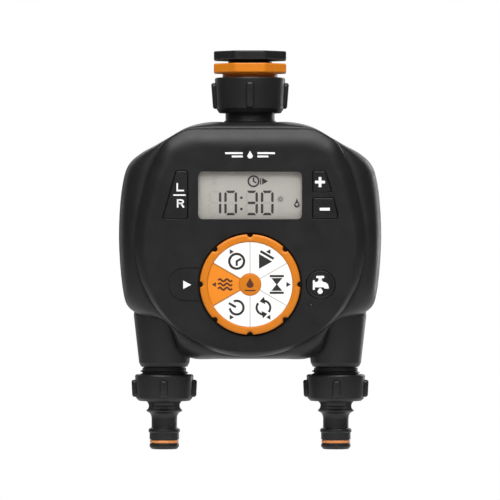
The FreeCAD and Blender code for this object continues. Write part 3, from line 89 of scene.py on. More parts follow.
FACE_HALF = [
    (0.0, -54.8), (10.5, -54.8), (21.0, -54.8), (31.5, -55.1), (38.6, -57.0), (41.4, -59.2),
    (43.7, -62.2), (46.6, -66.8), (49.1, -72.0), (57.6, -104.0), (54.9, -126.6), (52.6, -134.2),
    (49.0, -141.4), (45.6, -146.0), (42.0, -150.2), (39.1, -152.9), (36.0, -155.3), (30.6, -158.5),
    (24.8, -161.1), (12.6, -164.6), (0.0, -165.5),
]
# Power of the cover's edge curve at the sides and across the top, and the heights between which it changes.
COVER_POWER, TOP_POWER = 1.4, 2.0
ROUND_TOP_Z = (-68.0, -57.0)
# Rounded edge beside a seam, as (inwards, away from the seam).
SEAM = [(0.18, 0.0), (0.05, 0.05), (0.0, 0.18)]
GASKET_LEDGE, GROOVE_DEPTH = 6.0, 0.45
# Opening in the back: half its width, its foot and its top.
BATTERY_OPENING = (29.5, -155.5, -93.5)
KEY_STEM_R, KEY_STEM_Y = 1.6, -27.9
# Threads: root radius, crest radius and pitch.
G34_THREAD, G1_THREAD, G12_SOCKET = (12.06, 13.2, 1.814), (15.15, 16.6, 2.309), (10.42, 9.36, 1.814)
FLANGE_FLATS, FLANGE_CORNER_R = 40.0, 21.42
RIB_EDGE_R = 1.3
CELLS, CELL_PITCH, CELL_Y, CELL_TOP_Z = 4, 15.0, 21.6, -102.0
# Printed marks stand this far in front of the surface they are printed on.
PRINT_LIFT, PRINT_THICKNESS = 0.03, 0.05
ICON_SCALE, ICON_R, POINTER_R = 1.2, 14.6, 20.9
LATHE_STEPS, FLANGE_STEPS, SPLINE_STEPS = 120, 240, 5
SHARP_ANGLE = 35.0

# ---------------------------------------------------------------- studio
FLOOR_Z, FLOOR_HALF = -350.0, 1500.0
WORLD_LIGHT = 0.10
# Area lights, in metres and watts: width, height, place and power. All of them face the target.
LIGHT_TARGET = (0.0, 0.0, -0.11)
LIGHTS = {
    "overhead": (1.4, 1.5, (0, -0.55, 0.85), 27.0),
    "front_fill": (1.4, 0.8, (0, -1.5, 1.1), 6.0),
    "left_strip": (0.25, 0.8, (-0.7, 1.0, 0.1), 0.5),
    "right_strip": (0.25, 0.8, (0.7, 1.0, 0.1), 2.6),
    "under_strip": (0.7, 0.3, (0, -0.35, -0.75), 4.0),
    "rear_fill": (1.4, 0.8, (0, 1.7, 0.6), 5.0),
}
# The camera's place is in metres.
CAMERA_PLACE, LENS_MM, SENSOR_MM = (-0.00003, -2.6, -0.1098), 338.0, 36.0


# ================================================================ mesh helpers
def link(name, mesh):
    """New object for a mesh, in the scene and smoothly shaded."""
    obj = bpy.data.objects.new(name, mesh)
    bpy.context.scene.collection.objects.link(obj)
    shade(obj, SHARP_ANGLE)
    return obj


def from_bmesh(name, bm):
    """New mesh that takes over a bmesh, which is freed."""
    mesh = bpy.data.meshes.new(name)
    bm.to_mesh(mesh)
    bm.free()
    return mesh


def make_object(name, verts, faces):
    """Mesh object from points in millimetres, with outward normals and smooth shading."""
    mesh = bpy.data.meshes.new(name)
    mesh.from_pydata([(x * MM, y * MM, z * MM) for x, y, z in verts], [], faces)
    bm = bmesh.new()
    bm.from_mesh(mesh)
    bmesh.ops.remove_doubles(bm, verts=bm.verts, dist=1e-7)
    bmesh.ops.recalc_face_normals(bm, faces=bm.faces)
    bm.to_mesh(mesh)
    bm.free()
    return link(name, mesh)


def shade(obj, sharp_angle):
    obj.data.polygons.foreach_set("use_smooth", [True] * len(obj.data.polygons))
    obj.data.set_sharp_from_angle(angle=math.radians(sharp_angle))


def rounded(profile, radius=0.0, steps=4):
    """Closed outline with its corners turned into arcs; a point may carry its own radius third."""
    result = []
    count = len(profile)
    for i in range(count):
        before, here, after = (Vector(profile[(i + k) % count][:2]) for k in (-1, 0, 1))
        corner = profile[i][2] if len(profile[i]) > 2 else radius
        back, ahead = before - here, after - here
        turn = math.pi - back.angle(ahead, math.pi)
        if turn < math.radians(12) or corner <= 0:
            result.append(tuple(here))
            continue
        reach = min(corner * math.tan(turn / 2), 0.48 * back.length, 0.48 * ahead.length)
        start, end = here + back.normalized() * reach, here + ahead.normalized() * reach
        result += bend(start, here, end, steps)
    return result


def bend(start, control, end, steps=8):
    """Points of a curve from start to end that leaves and arrives along the lines to control."""
    points = []
    for k in range(steps + 1):
        t = k / steps
        weights = (1 - t) ** 2, 2 * t * (1 - t), t * t
        points.append(tuple(sum(w * p[i] for w, p in zip(weights, (start, control, end))) for i in (0, 1)))
    return points


def quads(size, rows, base=0, closed=False):
    """Faces between rings of points, each of the given size; closed joins the last ring to the first."""
    faces = []
    for i in range(rows if closed else rows - 1):
        a, b = base + i * size, base + (i + 1) % rows * size
        for k in range(size):
            n = (k + 1) % size
            faces.append((a + k, a + n, b + n, b + k))
    return faces


def caps(size, rows):
    """The two end faces of a tube made by quads."""
    return [tuple(range(size)), tuple(range((rows - 1) * size, rows * size))]


def lathe(name, profile, x=0.0, z=0.0, axis="Z", steps=LATHE_STEPS, start=0.0, span=360.0):
    """Closed (radius, height) profile turned about a line along Z at x, or along Y through (x, z)."""
    whole = span >= 360.0
    columns = steps if whole else steps + 1
    verts = []
    for i in range(columns):
        angle = math.radians(start + span * i / steps)
        c, s = math.cos(angle), math.sin(angle)
        for r, h in profile:
            verts.append((x + r * c, r * s, h) if axis == "Z" else (x + r * c, h, z + r * s))
    faces = quads(len(profile), columns, closed=whole)
    if not whole:
        faces += caps(len(profile), columns)
    return make_object(name, verts, faces)


def stack(name, loops, capped=True):
    """Skin over closed loops that all have the same number of points."""
    verts = [p for loop in loops for p in loop]
    faces = quads(len(loops[0]), len(loops))
    if capped:
        faces += caps(len(loops[0]), len(loops))
    return make_object(name, verts, faces)


def solid_box(name, low, high, bevel=0.0):
    """Box with bevelled edges."""
    bm = bmesh.new()
    bmesh.ops.create_cube(bm, size=1.0)
    for v in bm.verts:
        for k in range(3):
            v.co[k] = (low[k] if v.co[k] < 0 else high[k]) * MM
    if bevel > 0:
        bmesh.ops.bevel(bm, geom=bm.edges, offset=bevel * MM, segments=3, profile=0.5, affect="EDGES")
    return link(name, from_bmesh(name, bm))


def apply_modifiers(obj):
    depsgraph = bpy.context.evaluated_depsgraph_get()
    mesh = bpy.data.meshes.new_from_object(obj.evaluated_get(depsgraph))
    old = obj.data
    obj.modifiers.clear()
    obj.data = mesh
    bpy.data.meshes.remove(old)


def combine(target, others, operation="UNION"):
    """Boolean of one object with others, which are then removed."""
    for other in others:
        modifier = target.modifiers.new("combine", "BOOLEAN")
        modifier.object = other
        modifier.operation = operation
        modifier.solver = "EXACT"
    apply_modifiers(target)
    for other in others:
        bpy.data.objects.remove(other)
    return target


def merge(name, objects):
    """One object holding the meshes of several."""
    bm = bmesh.new()
    for obj in objects:
        obj.data.transform(obj.matrix_world)
        bm.from_mesh(obj.data)
    for obj in objects:
        bpy.data.objects.remove(obj)
    return link(name, from_bmesh(name, bm))


def even_normals(obj):
    """Corner normals weighted by face area, so flats look flat beside small radii."""
    modifier = obj.modifiers.new("normals", "WEIGHTED_NORMAL")
    modifier.keep_sharp = True
    modifier.weight = 80


# ================================================================ outlines
def smooth_loop(half):
    """Closed spline through a right half outline and its mirror image."""
    loop = [Vector(p) for p in half + [(-x, z) for x, z in reversed(half[1:-1])]]
    count, points = len(loop), []
    for i in range(count):
        a, b, c, d = (loop[(i + k) % count] for k in (-1, 0, 1, 2))
        t0, t1 = 0.0, (b - a).length ** 0.5
        t2 = t1 + (c - b).length ** 0.5
        t3 = t2 + (d - c).length ** 0.5
        for k in range(SPLINE_STEPS):
            t = t1 + (t2 - t1) * k / SPLINE_STEPS
            p = a * ((t1 - t) / (t1 - t0)) + b * ((t - t0) / (t1 - t0))
            q = b * ((t2 - t) / (t2 - t1)) + c * ((t - t1) / (t2 - t1))
            r = c * ((t3 - t) / (t3 - t2)) + d * ((t - t2) / (t3 - t2))
            u = p * ((t2 - t) / (t2 - t0)) + q * ((t - t0) / (t2 - t0))
            v = q * ((t3 - t) / (t3 - t1)) + r * ((t - t1) / (t3 - t1))
            points.append(tuple(u * ((t2 - t) / (t2 - t1)) + v * ((t - t1) / (t2 - t1))))
    return points


def inset(loop, distance):
    """A closed loop moved inwards along its own normals."""
    result, count = [], len(loop)
    for i in range(count):
        dx = loop[(i + 1) % count][0] - loop[i - 1][0]
        dz = loop[(i + 1) % count][1] - loop[i - 1][1]
        length = math.hypot(dx, dz)
        result.append((loop[i][0] + distance * dz / length, loop[i][1] - distance * dx / length))
    return result


def between(loop_a, loop_b, share):
    pairs = zip(loop_a, loop_b)
    return [(a[0] + (b[0] - a[0]) * share, a[1] + (b[1] - a[1]) * share) for a, b in pairs]


def at(loop, y):
    return [(x, y, z) for x, z in loop]


def swell(loop_a, loop_b, y_a, y_b, steps):
    """Loops that leave loop_a square to it and round over to loop_b, as a quarter ellipse does."""
    loops = []
    for i in range(steps + 1):
        angle = math.pi / 2 * i / steps
        loops.append(at(between(loop_a, loop_b, 1 - math.cos(angle)), y_a + (y_b - y_a) * math.sin(angle)))
    return loops


def cover_power(z):
    """Power of the cover's edge curve: round across the top, nearly a chamfer at the sides and foot."""
    share = min(max((z - ROUND_TOP_Z[0]) / (ROUND_TOP_Z[1] - ROUND_TOP_Z[0]), 0.0), 1.0)
    return COVER_POWER + (TOP_POWER - COVER_POWER) * share * share * (3 - 2 * share)


def cover_swell(loop_a, loop_b, y_a, y_b, steps):
    """Swell of the front cover, each point of the outline with its own edge curve."""
    loops = []
    for i in range(steps + 1):
        angle = math.pi / 2 * i / steps
        run, rise = max(math.cos(angle), 0.0), math.sin(angle)
        loop = []
        for (x_a, z_a), (x_b, z_b) in zip(loop_a, loop_b):
            power = 2 / cover_power(z_b)
            share, y = 1 - run ** power, y_a + (y_b - y_a) * rise ** power
            loop.append((x_a + (x_b - x_a) * share, y, z_a + (z_b - z_a) * share))
        loops.append(loop)
    return loops


def edge_arc(radius, steps):
    """(inwards, back) offsets along a quarter round between a side and a front face."""
    angles = [math.pi / 2 * k / steps for k in range(steps + 1)]
    return [(radius * (1 - math.sin(a)), radius * (1 - math.cos(a))) for a in angles]


def polar(r, degrees, x=0.0, z=0.0):
    return x + r * math.cos(math.radians(degrees)), z + r * math.sin(math.radians(degrees))


def circle(r, x, z, steps=96, start=0.0, span=360.0):
    count = steps if span >= 360 else steps + 1
    return [polar(r, start + span * i / steps, x, z) for i in range(count)]


def grow(loop, distance):
    """A closed loop moved outwards, whichever way it runs."""
    area = sum(a[0] * b[1] - b[0] * a[1] for a, b in zip(loop, loop[1:] + loop[:1]))
    return inset(loop, distance if area > 0 else -distance)


def offset_polygon(points, distance):
    """Convex polygon with every side moved outwards."""
    centre = sum((Vector(p) for p in points), Vector((0, 0))) / len(points)
    lines = []
    for i in range(len(points)):
        a, b = Vector(points[i]), Vector(points[(i + 1) % len(points)])
        normal = Vector((b.y - a.y, a.x - b.x)).normalized()
        if normal.dot(a - centre) < 0:
            normal = -normal
        lines.append((normal.x, normal.y, normal.dot(a) + distance))
    result = []
    for i in range(len(lines)):
        (a, b, c), (d, e, f) = lines[i - 1], lines[i]
        cross = a * e - b * d
        result.append(((c * e - b * f) / cross, (a * f - c * d) / cross))
    return result


def rectangle(x0, x1, z0, z1):
    return [(x0, z0), (x1, z0), (x1, z1), (x0, z1)]


def flat_face(outer, holes, y, verts, faces):
    """Adds a flat face at depth y, bounded by an outer loop and holes, to the lists."""
    points, edges = [], []
    for loop in [outer] + holes:
        base = len(points)
        points += [Vector(p) for p in loop]
        edges += [(base + i, base + (i + 1) % len(loop)) for i in range(len(loop))]
    out_points, _, triangles, _, _, _ = delaunay_2d_cdt(points, edges, [], 0, 1e-5)
    base = len(verts)
    verts += [(p.x, y, p.y) for p in out_points]
    for triangle in triangles:
        middle = sum((out_points[i] for i in triangle), Vector((0, 0))) / 3
        if inside(middle, outer) and not any(inside(middle, hole) for hole in holes):
            faces.append(tuple(base + i for i in triangle))


def inside(point, loop):
    """Whether a point lies in a closed loop, by counting crossings."""
    hit, count = False, len(loop)
    for i in range(count):
        (ax, az), (bx, bz) = loop[i], loop[i - 1]
        if (az > point[1]) != (bz > point[1]):
            if point[0] < (bx - ax) * (point[1] - az) / (bz - az) + ax:
                hit = not hit
    return hit


def skin(loops, verts, faces):
    """Adds quads between successive 3-D loops to the lists."""
    faces += quads(len(loops[0]), len(loops), len(verts))
    for loop in loops:
        verts += loop


def wall(loop, y0, y1, verts, faces):
    """Adds a straight wall along a loop to the lists."""
    skin([at(loop, y0), at(loop, y1)], verts, faces)


# ================================================================ materials
def new_material(name):
    material = bpy.data.materials.new(name)
    material.use_nodes = True
    shader = material.node_tree.nodes["Principled BSDF"]
    return material, material.node_tree, shader


def add_node(tree, kind, values, links, data_type=None, operation=None):
    """New shader node with some inputs set to values and others fed by other nodes."""
    node = tree.nodes.new("ShaderNode" + kind)
    if data_type is not None:
        node.data_type = data_type
    if operation is not None:
        node.operation = operation
    for name, value in values.items():
        node.inputs[name].default_value = value
    for name, output in links.items():
        tree.links.new(output, node.inputs[name])
    return node


def noise(tree, scale, detail, roughness=0.5, stretch=None):
    """Noise over object coordinates; scale is in features per metre."""
    coords = tree.nodes.new("ShaderNodeTexCoord").outputs["Object"]
    if stretch is not None:
        coords = add_node(tree, "Mapping", {"Scale": stretch}, {"Vector": coords}).outputs["Vector"]
    values = {"Scale": scale, "Detail": detail, "Roughness": roughness}
    return add_node(tree, "TexNoise", values, {"Vector": coords}).outputs["Fac"]


def remap(tree, value, low, high, new_low, new_high):
    values = {"From Min": low, "From Max": high, "To Min": new_low, "To Max": new_high}
    return add_node(tree, "MapRange", values, {"Value": value}).outputs["Result"]


def blend_colours(tree, value, colour_a, colour_b):
    colours = {"A": (*colour_a, 1.0), "B": (*colour_b, 1.0)}
    return add_node(tree, "Mix", colours, {"Factor": value}, data_type="RGBA").outputs["Result"]


def bump(tree, shader, height, strength, distance_mm, before=None):
    links = {"Height": height} if before is None else {"Height": height, "Normal": before}
    values = {"Strength": strength, "Distance": distance_mm * MM}
    normal = add_node(tree, "Bump", values, links).outputs["Normal"]
    tree.links.new(normal, shader.inputs["Normal"])
    return normal


def shaded(colour, factor):
    return tuple(min(1.0, c * factor) for c in colour)


def vary(tree, shader, socket, scale, detail, low, high):
    """Lets a socket of the shader wander between two values, in patches of the given scale."""
    tree.links.new(remap(tree, noise(tree, scale, detail), 0.3, 0.7, low, high), shader.inputs[socket])


def cloud(tree, shader, colour, scale, detail, dark, light):
    """Base colour that drifts between a darker and a lighter share of the colour."""
    share = remap(tree, noise(tree, scale, detail), 0.3, 0.7, 0.0, 1.0)
    mixed = blend_colours(tree, share, shaded(colour, dark), shaded(colour, light))
    tree.links.new(mixed, shader.inputs["Base Color"])


def moulded(name, colour, roughness, grain=2600.0, grain_height=0.02, contrast=0.16, specular=0.5):
    """Injection-moulded plastic: spark-eroded grain, faint flow mottling and uneven gloss."""
    material, tree, shader = new_material(name)
    mottling = noise(tree, 45.0, 4.0, 0.6)
    speckle = noise(tree, grain * 0.6, 2.0)
    tone = add_node(tree, "Math", {1: 0.45}, {0: speckle, 2: mottling}, operation="MULTIPLY_ADD")
    spread = remap(tree, tone.outputs[0], 0.35, 1.1, 0.0, 1.0)
    mixed = blend_colours(tree, spread, shaded(colour, 1 - contrast), shaded(colour, 1 + contrast))
    tree.links.new(mixed, shader.inputs["Base Color"])
    gloss = remap(tree, noise(tree, 120.0, 5.0, 0.65), 0.3, 0.7, roughness - 0.05, roughness + 0.06)
    tree.links.new(gloss, shader.inputs["Roughness"])
    waves = bump(tree, shader, noise(tree, 60.0, 1.0), 0.25, 0.05)
    bump(tree, shader, noise(tree, grain, 2.0), 0.55, grain_height, waves)
    shader.inputs["Specular IOR Level"].default_value = specular
    return material


def rubber(name, colour, roughness=0.6):
    """Soft rubber with a fine bloom and a cloudy surface."""
    material, tree, shader = new_material(name)
    cloud(tree, shader, colour, 300.0, 4.0, 0.85, 1.15)
    vary(tree, shader, "Roughness", 900.0, 2.0, roughness - 0.08, roughness + 0.08)
    bump(tree, shader, noise(tree, 3500.0, 2.0), 0.4, 0.015)
    shader.inputs["Sheen Weight"].default_value = 0.15
    return material


def metal(name, colour, roughness, stretch=(1.0, 1.0, 30.0)):
    """Machined or plated metal with fine directional scratches."""
    material, tree, shader = new_material(name)
    scratches = noise(tree, 900.0, 4.0, stretch=stretch)
    gloss = remap(tree, scratches, 0.3, 0.7, roughness - 0.1, roughness + 0.12)
    tree.links.new(gloss, shader.inputs["Roughness"])
    mixed = blend_colours(tree, scratches, shaded(colour, 0.85), shaded(colour, 1.1))
    tree.links.new(mixed, shader.inputs["Base Color"])
    bump(tree, shader, scratches, 0.25, 0.01)
    shader.inputs["Metallic"].default_value = 1.0
    return material


def ink(name, colour, roughness):
    """Pad-printed ink: almost flat, with slightly uneven cover."""
    material, tree, shader = new_material(name)
    cloud(tree, shader, colour, 1800.0, 3.0, 0.93, 1.03)
    vary(tree, shader, "Roughness", 700.0, 2.0, roughness - 0.06, roughness + 0.06)
    bump(tree, shader, noise(tree, 2500.0, 2.0), 0.2, 0.006)
    return material


def clear(name, colour, roughness=0.04, transmission=0.95, alpha=1.0):
    """Clear moulded acrylic with faint ripples."""
    material, tree, shader = new_material(name)
    vary(tree, shader, "Roughness", 400.0, 2.0, roughness * 0.7, roughness * 1.5)
    bump(tree, shader, noise(tree, 80.0, 1.0), 0.08, 0.02)
    shader.inputs["Base Color"].default_value = (*colour, 1.0)
    shader.inputs["Transmission Weight"].default_value = transmission
    shader.inputs["IOR"].default_value = 1.49
    shader.inputs["Alpha"].default_value = alpha
    return material


HOUSING = moulded("housing_plastic", (0.0088, 0.0090, 0.0092), 0.40, specular=0.36)
COVER = moulded("cover_plastic", (0.0092, 0.0093, 0.0095), 0.37, 3200.0, 0.012, specular=0.33)
FITTING = moulded("fitting_plastic", (0.0105, 0.0107, 0.0110), 0.36, 1800.0, 0.014, specular=0.36)
KEYS = moulded("key_plastic", (0.0082, 0.0083, 0.0085), 0.38, 3600.0, 0.010, specular=0.32)
ORANGE = moulded("orange_plastic", (0.60, 0.180, 0.008), 0.34, 2000.0, 0.010, contrast=0.06, specular=0.3)
DIAL_ORANGE = moulded("dial_orange", (0.575, 0.170, 0.006), 0.40, 3000.0, 0.010, contrast=0.05, specular=0.3)
LABEL_WHITE = ink("label_white", (0.88, 0.87, 0.85), 0.40)
LABEL_ORANGE = ink("label_orange", (0.76, 0.225, 0.006), 0.40)
LABEL_GREY = ink("label_grey", (0.50, 0.49, 0.46), 0.36)
LABEL_EDGE = ink("label_edge", (0.42, 0.17, 0.03), 0.36)
PRINT_BROWN = ink("print_brown", (0.085, 0.022, 0.006), 0.4)
PRINT_WHITE = ink("print_white", (0.84, 0.84, 0.83), 0.45)
PRINT_BLACK = ink("print_black", (0.012, 0.012, 0.012), 0.45)
BLACK_RUBBER = rubber("black_rubber", (0.012, 0.012, 0.013))
ORANGE_RUBBER = rubber("orange_rubber", (0.66, 0.24, 0.07), 0.42)
SILICONE = rubber("silicone_grey", (0.32, 0.33, 0.34))
STEEL = metal("zinc_steel", (0.60, 0.60, 0.62), 0.32)
PLUNGER_STEEL = metal("plunger_steel", (0.52, 0.52, 0.54), 0.25)
COPPER = metal("copper_wire", (0.72, 0.28, 0.12), 0.35, (1.0, 1.0, 60.0))
BOARD = moulded("board_green", (0.012, 0.12, 0.045), 0.28, 1500.0, 0.008)
WHITE_PLASTIC = moulded("white_plastic", (0.70, 0.70, 0.68), 0.45, contrast=0.04)
VALVE_PLASTIC = moulded("valve_plastic", (0.008, 0.008, 0.0085), 0.42, 1200.0, specular=0.3)
LEAD_RED = rubber("lead_insulation", (0.38, 0.02, 0.02), 0.4)
WINDOW = clear("window_clear", (0.97, 0.98, 0.97), alpha=0.16)
CELL_BLACK = moulded("cell_jacket", (0.02, 0.02, 0.022), 0.25, 900.0, 0.006)
LED_LENS = clear("led_red", (0.008, 0.001, 0.001), 0.3, 0.1)
LCD_BACK = ink("lcd_back", (0.425, 0.404, 0.372), 0.45)
LCD_GHOST = ink("lcd_ghost", (0.383, 0.363, 0.333), 0.45)
LCD_DARK = ink("lcd_dark", (0.012, 0.012, 0.012), 0.45)


def paint(obj, material):
    obj.data.materials.clear()
    obj.data.materials.append(material)


def finish(obj, body, material, replaces=(), angle=None, even=False):
    """Gives a piece its material, body, the CAD nodes it stands for and its final shading."""
    paint(obj, material)
    if replaces:
        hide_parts(*replaces)
    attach(obj, body)
    if angle is not None:
        shade(obj, angle)
    if even:
        even_normals(obj)


# ================================================================ turned and ribbed parts
def turned_stack(name, rings):
    """Closed ring-shaped skin; each ring is (radius or radius function of the angle, height)."""
    angles = [2 * math.pi * i / FLANGE_STEPS for i in range(FLANGE_STEPS)]
    loops = []
    for radius, z in rings:
        radii = [radius(a) if callable(radius) else radius for a in angles]
        loops.append([(r * math.cos(a), r * math.sin(a), z) for r, a in zip(radii, angles)])
    loops.append(loops[0])
    return stack(name, loops, capped=False)


def octagon(across_flats):
    """Radius function of an eight-sided flange with a flat to the front and rounded corners."""
    def radius(angle):
        from_flat = (angle + math.pi / 8) % (math.pi / 4) - math.pi / 8
        corner_r = FLANGE_CORNER_R - (FLANGE_FLATS - across_flats) / 2
        return min(across_flats / 2 / math.cos(from_flat), corner_r)
    return radius


def helix(name, root_r, crest_r, pitch, z_top, turns, x=0.0, steps=72):
    """Thread ridge that runs down a right-hand helix and fades in and out at its ends."""
    depth = 0.25 if crest_r > root_r else -0.25
    section = [(root_r - depth, 0.40), (root_r, 0.40), (crest_r, 0.12), (crest_r, -0.12), (root_r, -0.40),
               (root_r - depth, -0.40)]
    total = int(turns * steps)
    verts = []
    for i in range(total + 1):
        angle = 2 * math.pi * i / steps
        fade = min(1.0, i / (steps * 0.12), (total - i) / (steps * 0.12))
        for r, h in section:
            r = root_r - depth + (r - root_r + depth) * max(fade, 0.02)
            z = z_top - pitch * i / steps + h * pitch
            verts.append((x + r * math.cos(-angle), r * math.sin(-angle), z))
    size, rows = len(section), total + 1
    return make_object(name, verts, quads(size, rows) + caps(size, rows))


def grip_rib(angle, r_in, r_top, r_low, z_top, z_low, width, end_r, x=0.0):
    """Upright rib with rounded ends whose outer face leans in towards the foot."""
    middle, half = (z_top + z_low) / 2, (z_top - z_low) / 2
    outline = rounded(rectangle(-width / 2, width / 2, -half, half), min(end_r, width / 2 - 0.02), 6)
    layers = [(0.0, r_in)] + [(shrink, -depth) for depth, shrink in edge_arc(RIB_EDGE_R, 5)]
    turn = math.radians(angle)
    loops = []
    for k, (shrink, reach) in enumerate(layers):
        loop = []
        for t, h in grow(outline, -shrink) if shrink else outline:
            lean = r_top + (r_low - r_top) * (half - h) / (2 * half)
            r = reach if k == 0 else lean + reach
            across = r * math.cos(turn) - t * math.sin(turn)
            loop.append((x + across, r * math.sin(turn) + t * math.cos(turn), middle + h))
        loops.append(loop)
    return stack("rib", loops)


def flange_rings(top, foot, shoulder):
    """Rings of an octagonal flange with softened edges; the lower edge starts a shoulder above the foot."""
    outer, edge, rim = (octagon(FLANGE_FLATS - softening) for softening in (0.0, 0.7, 1.4))
    return [(rim, top), (edge, top - 0.12), (outer, top - 0.65),
            (outer, foot + shoulder), (edge, foot + 0.12), (rim, foot)]


def tap_reducer():
    rings = [(10.4, -0.7), (9.75, 0.0)] + flange_rings(0.0, -4.9, 0.65)
    rings += [(12.6, -4.9), (12.1, -5.3), (12.1, -15.4), (11.5, -16.0), (7.0, -16.0), (7.0, -12.4),
              (10.4, -12.4)]
    body = turned_stack("reducer_body", rings)
    outside = helix("reducer_thread", *G34_THREAD, -7.6, 4.0)
    inside = helix("reducer_inner_thread", *G12_SOCKET, -1.2, 4.6)
    obj = merge("tap_reducer_fine", [body, outside, inside])
    finish(obj, "housing", FITTING, ["tap_reducer"], angle=32)


def tap_adaptor():
    rings = [(13.6, -7.4), (14.2, -6.85)] + flange_rings(-6.85, -12.0, 0.6)
    rings += [(15.7, -12.0), (15.2, -12.4), (15.2, -23.6), (14.6, -24.2), (10.0, -24.2), (10.0, -18.4),
              (13.6, -18.4)]
    body = turned_stack("adaptor_body", rings)
    outside = helix("adaptor_thread", *G1_THREAD, -15.6, 3.4)
    obj = merge("tap_adaptor_fine", [body, outside])
    finish(obj, "housing", ORANGE, ["tap_adaptor"], angle=32)


def inlet_swivel_nut():
    profile = [(16.9, -14.5, 0.4), (18.6, -14.5), (19.1, -14.56, 0.3), (19.5, -15.2, 0.5),
               (18.72, -31.5, 0.9), (17.1, -34.0, 0.8), (13.8, -34.0, 0.4), (13.8, -30.0), (16.1, -30.0),
               (16.1, -24.4), (16.9, -24.2)]
    body = lathe("inlet_swivel_nut_fine", rounded(profile), steps=180)
    grips = [grip_rib(90 * i - 90, 17.6, 21.6, 20.5, -17.3, -31.7, 4.6, 2.2) for i in range(4)]
    combine(body, grips)
    finish(body, "inlet_nut", FITTING, ["inlet_swivel_nut"], angle=32)


def inlet_spigot():
    profile = [(8.5, -26.6), (13.1, -26.6, 0.4), (13.6, -27.1, 0.2), (13.6, -28.0), (12.3, -28.0),
               (12.3, -29.7), (13.6, -29.7), (13.6, -38.1, 0.3), (14.4, -38.5, 0.3), (14.4, -39.15, 0.2),
               (13.6, -39.3), (13.6, -41.8), (17.0, -41.8, 0.3), (17.0, -44.0, 0.3), (11.0, -44.0),
               (11.0, -50.0), (9.5, -50.0), (9.5, -52.4), (11.0, -52.4), (11.0, -58.0, 0.4), (8.5, -58.0)]
    obj = lathe("inlet_spigot_fine", rounded(profile), steps=160)
    finish(obj, "housing", FITTING, ["inlet_spigot"])


def tap_connector(side):
    """Ribbed nut and quick-connect nose of one outlet, with its collar's four scoops."""
    name, x = ("left", -OUTLET_X) if side < 0 else ("right", OUTLET_X)
    profile = [(13.6, -178.6, 0.3), (15.0, -178.6), (15.7, -178.7, 0.3), (16.2, -179.5, 0.6),
               (15.55, -191.8, 0.8), (14.1, -193.3, 1.2), (10.2, -193.3, 0.3), (10.2, -198.5, 0.5),
               (9.7, -199.1, 0.4)]
    profile += bend((8.9, -199.5), (7.1, -200.3), (7.05, -203.2))
    profile += [(7.05, -208.1, 0.2), (8.2, -208.6, 0.3), (8.7, -209.2, 0.3), (8.7, -210.3, 0.3),
                (8.15, -210.9, 0.3), (8.15, -214.65, 0.15), (5.8, -214.65), (5.8, -216.95),
                (8.15, -216.95, 0.15), (8.15, -218.6, 1.0), (7.0, -220.0, 0.9), (4.2, -220.0, 0.4),
                (4.2, -190.9), (13.7, -190.9), (13.6, -188.4)]
    body = lathe(name + "_tap_connector_fine", rounded(profile), x=x, steps=180)
    grips = [grip_rib(90 * i - 90, 14.0, 18.2, 17.7, -181.6, -191.2, 4.4, 2.0, x) for i in range(4)]
    combine(body, grips)
    scoops, scoop_r, reach, height = [], 2.9, 11.35, -195.98
    for i in range(4):
        turn = math.radians(90 * i - 90)
        scoop = lathe("scoop", [(0, -6), (scoop_r, -6), (scoop_r, 6), (0, 6)], steps=64)
        centre = Vector((x + reach * math.cos(turn), reach * math.sin(turn), height)) * MM
        across = Matrix.Rotation(turn, 4, "Z") @ Matrix.Rotation(math.pi / 2, 4, "X")
        scoop.data.transform(Matrix.Translation(centre) @ across)
        scoops.append(scoop)
    combine(body, scoops, "DIFFERENCE")
    finish(body, name + "_connector", FITTING, [name + "_tap_connector"], angle=30)
    seal = lathe(name + "_outlet_oring_fine", circle(1.1, 6.9, -215.8, 24), x=x)
    finish(seal, name + "_connector", ORANGE_RUBBER, [name + "_outlet_oring"])


def lay_along_x(obj, y, z, way=1):
    """Turns a piece made upright about the origin so that it runs along X through (y, z)."""
    obj.data.transform(Matrix(((0, 0, way, 0), (0, 1, 0, y * MM), (-way, 0, 0, z * MM), (0, 0, 0, 1))))
    return obj


def valve_manifold():
    """Inlet socket, down pipe, cross gallery, two valve chambers and the two threaded outlets."""
    socket = [(6.5, -60.8), (14.0, -60.8, 0.6), (14.0, -44.2, 0.4), (11.12, -44.2, 0.4), (11.12, -58.3),
              (6.5, -58.3)]
    pipe = [(6.5, -60.0), (6.5, -128.0), (0.0, -129.0), (0.0, -136.4), (4.3, -135.5), (7.45, -132.3),
            (8.6, -128.0), (8.6, -60.0)]
    parts = [lathe("socket", rounded(socket)), lathe("pipe", pipe)]
    gallery = lathe("gallery", [(7.0, -OUTLET_X), (7.0, OUTLET_X), (5.0, OUTLET_X), (5.0, -OUTLET_X)])
    parts.append(lay_along_x(gallery, 0, GALLERY_Z))
    chamber = rounded([(12.4, -119.0, 0.3), (15.5, -119.0, 0.5), (15.5, -137.0, 1.5), (11.4, -137.0, 1.0),
                       (11.4, -174.9), (12.1, -175.0), (12.1, -188.0, 0.4), (11.5, -188.7, 0.3),
                       (9.0, -188.7, 0.3), (9.0, -139.5), (4.6, -139.5), (4.6, -121.3, 0.3),
                       (6.2, -121.3, 0.3), (6.2, -134.5), (12.4, -134.5)])
    for x in (-OUTLET_X, OUTLET_X):
        parts.append(lathe("chamber", chamber, x=x, steps=144))
        parts.append(helix("ridge", *G34_THREAD, -175.9, 5.6, x))
    obj = merge("valve_manifold_fine", parts)
    finish(obj, "housing", VALVE_PLASTIC, ["valve_manifold"], angle=32)


# ================================================================ shell of the body
def cylinder_x(name, radius, x0, x1, y, z, edge=0.3, steps=64):
    """Cylinder along X with rounded ends."""
    obj = lathe(name, rounded([(0, x0), (radius, x0, edge), (radius, x1, edge), (0, x1)]), steps=steps)
    return lay_along_x(obj, y, z)


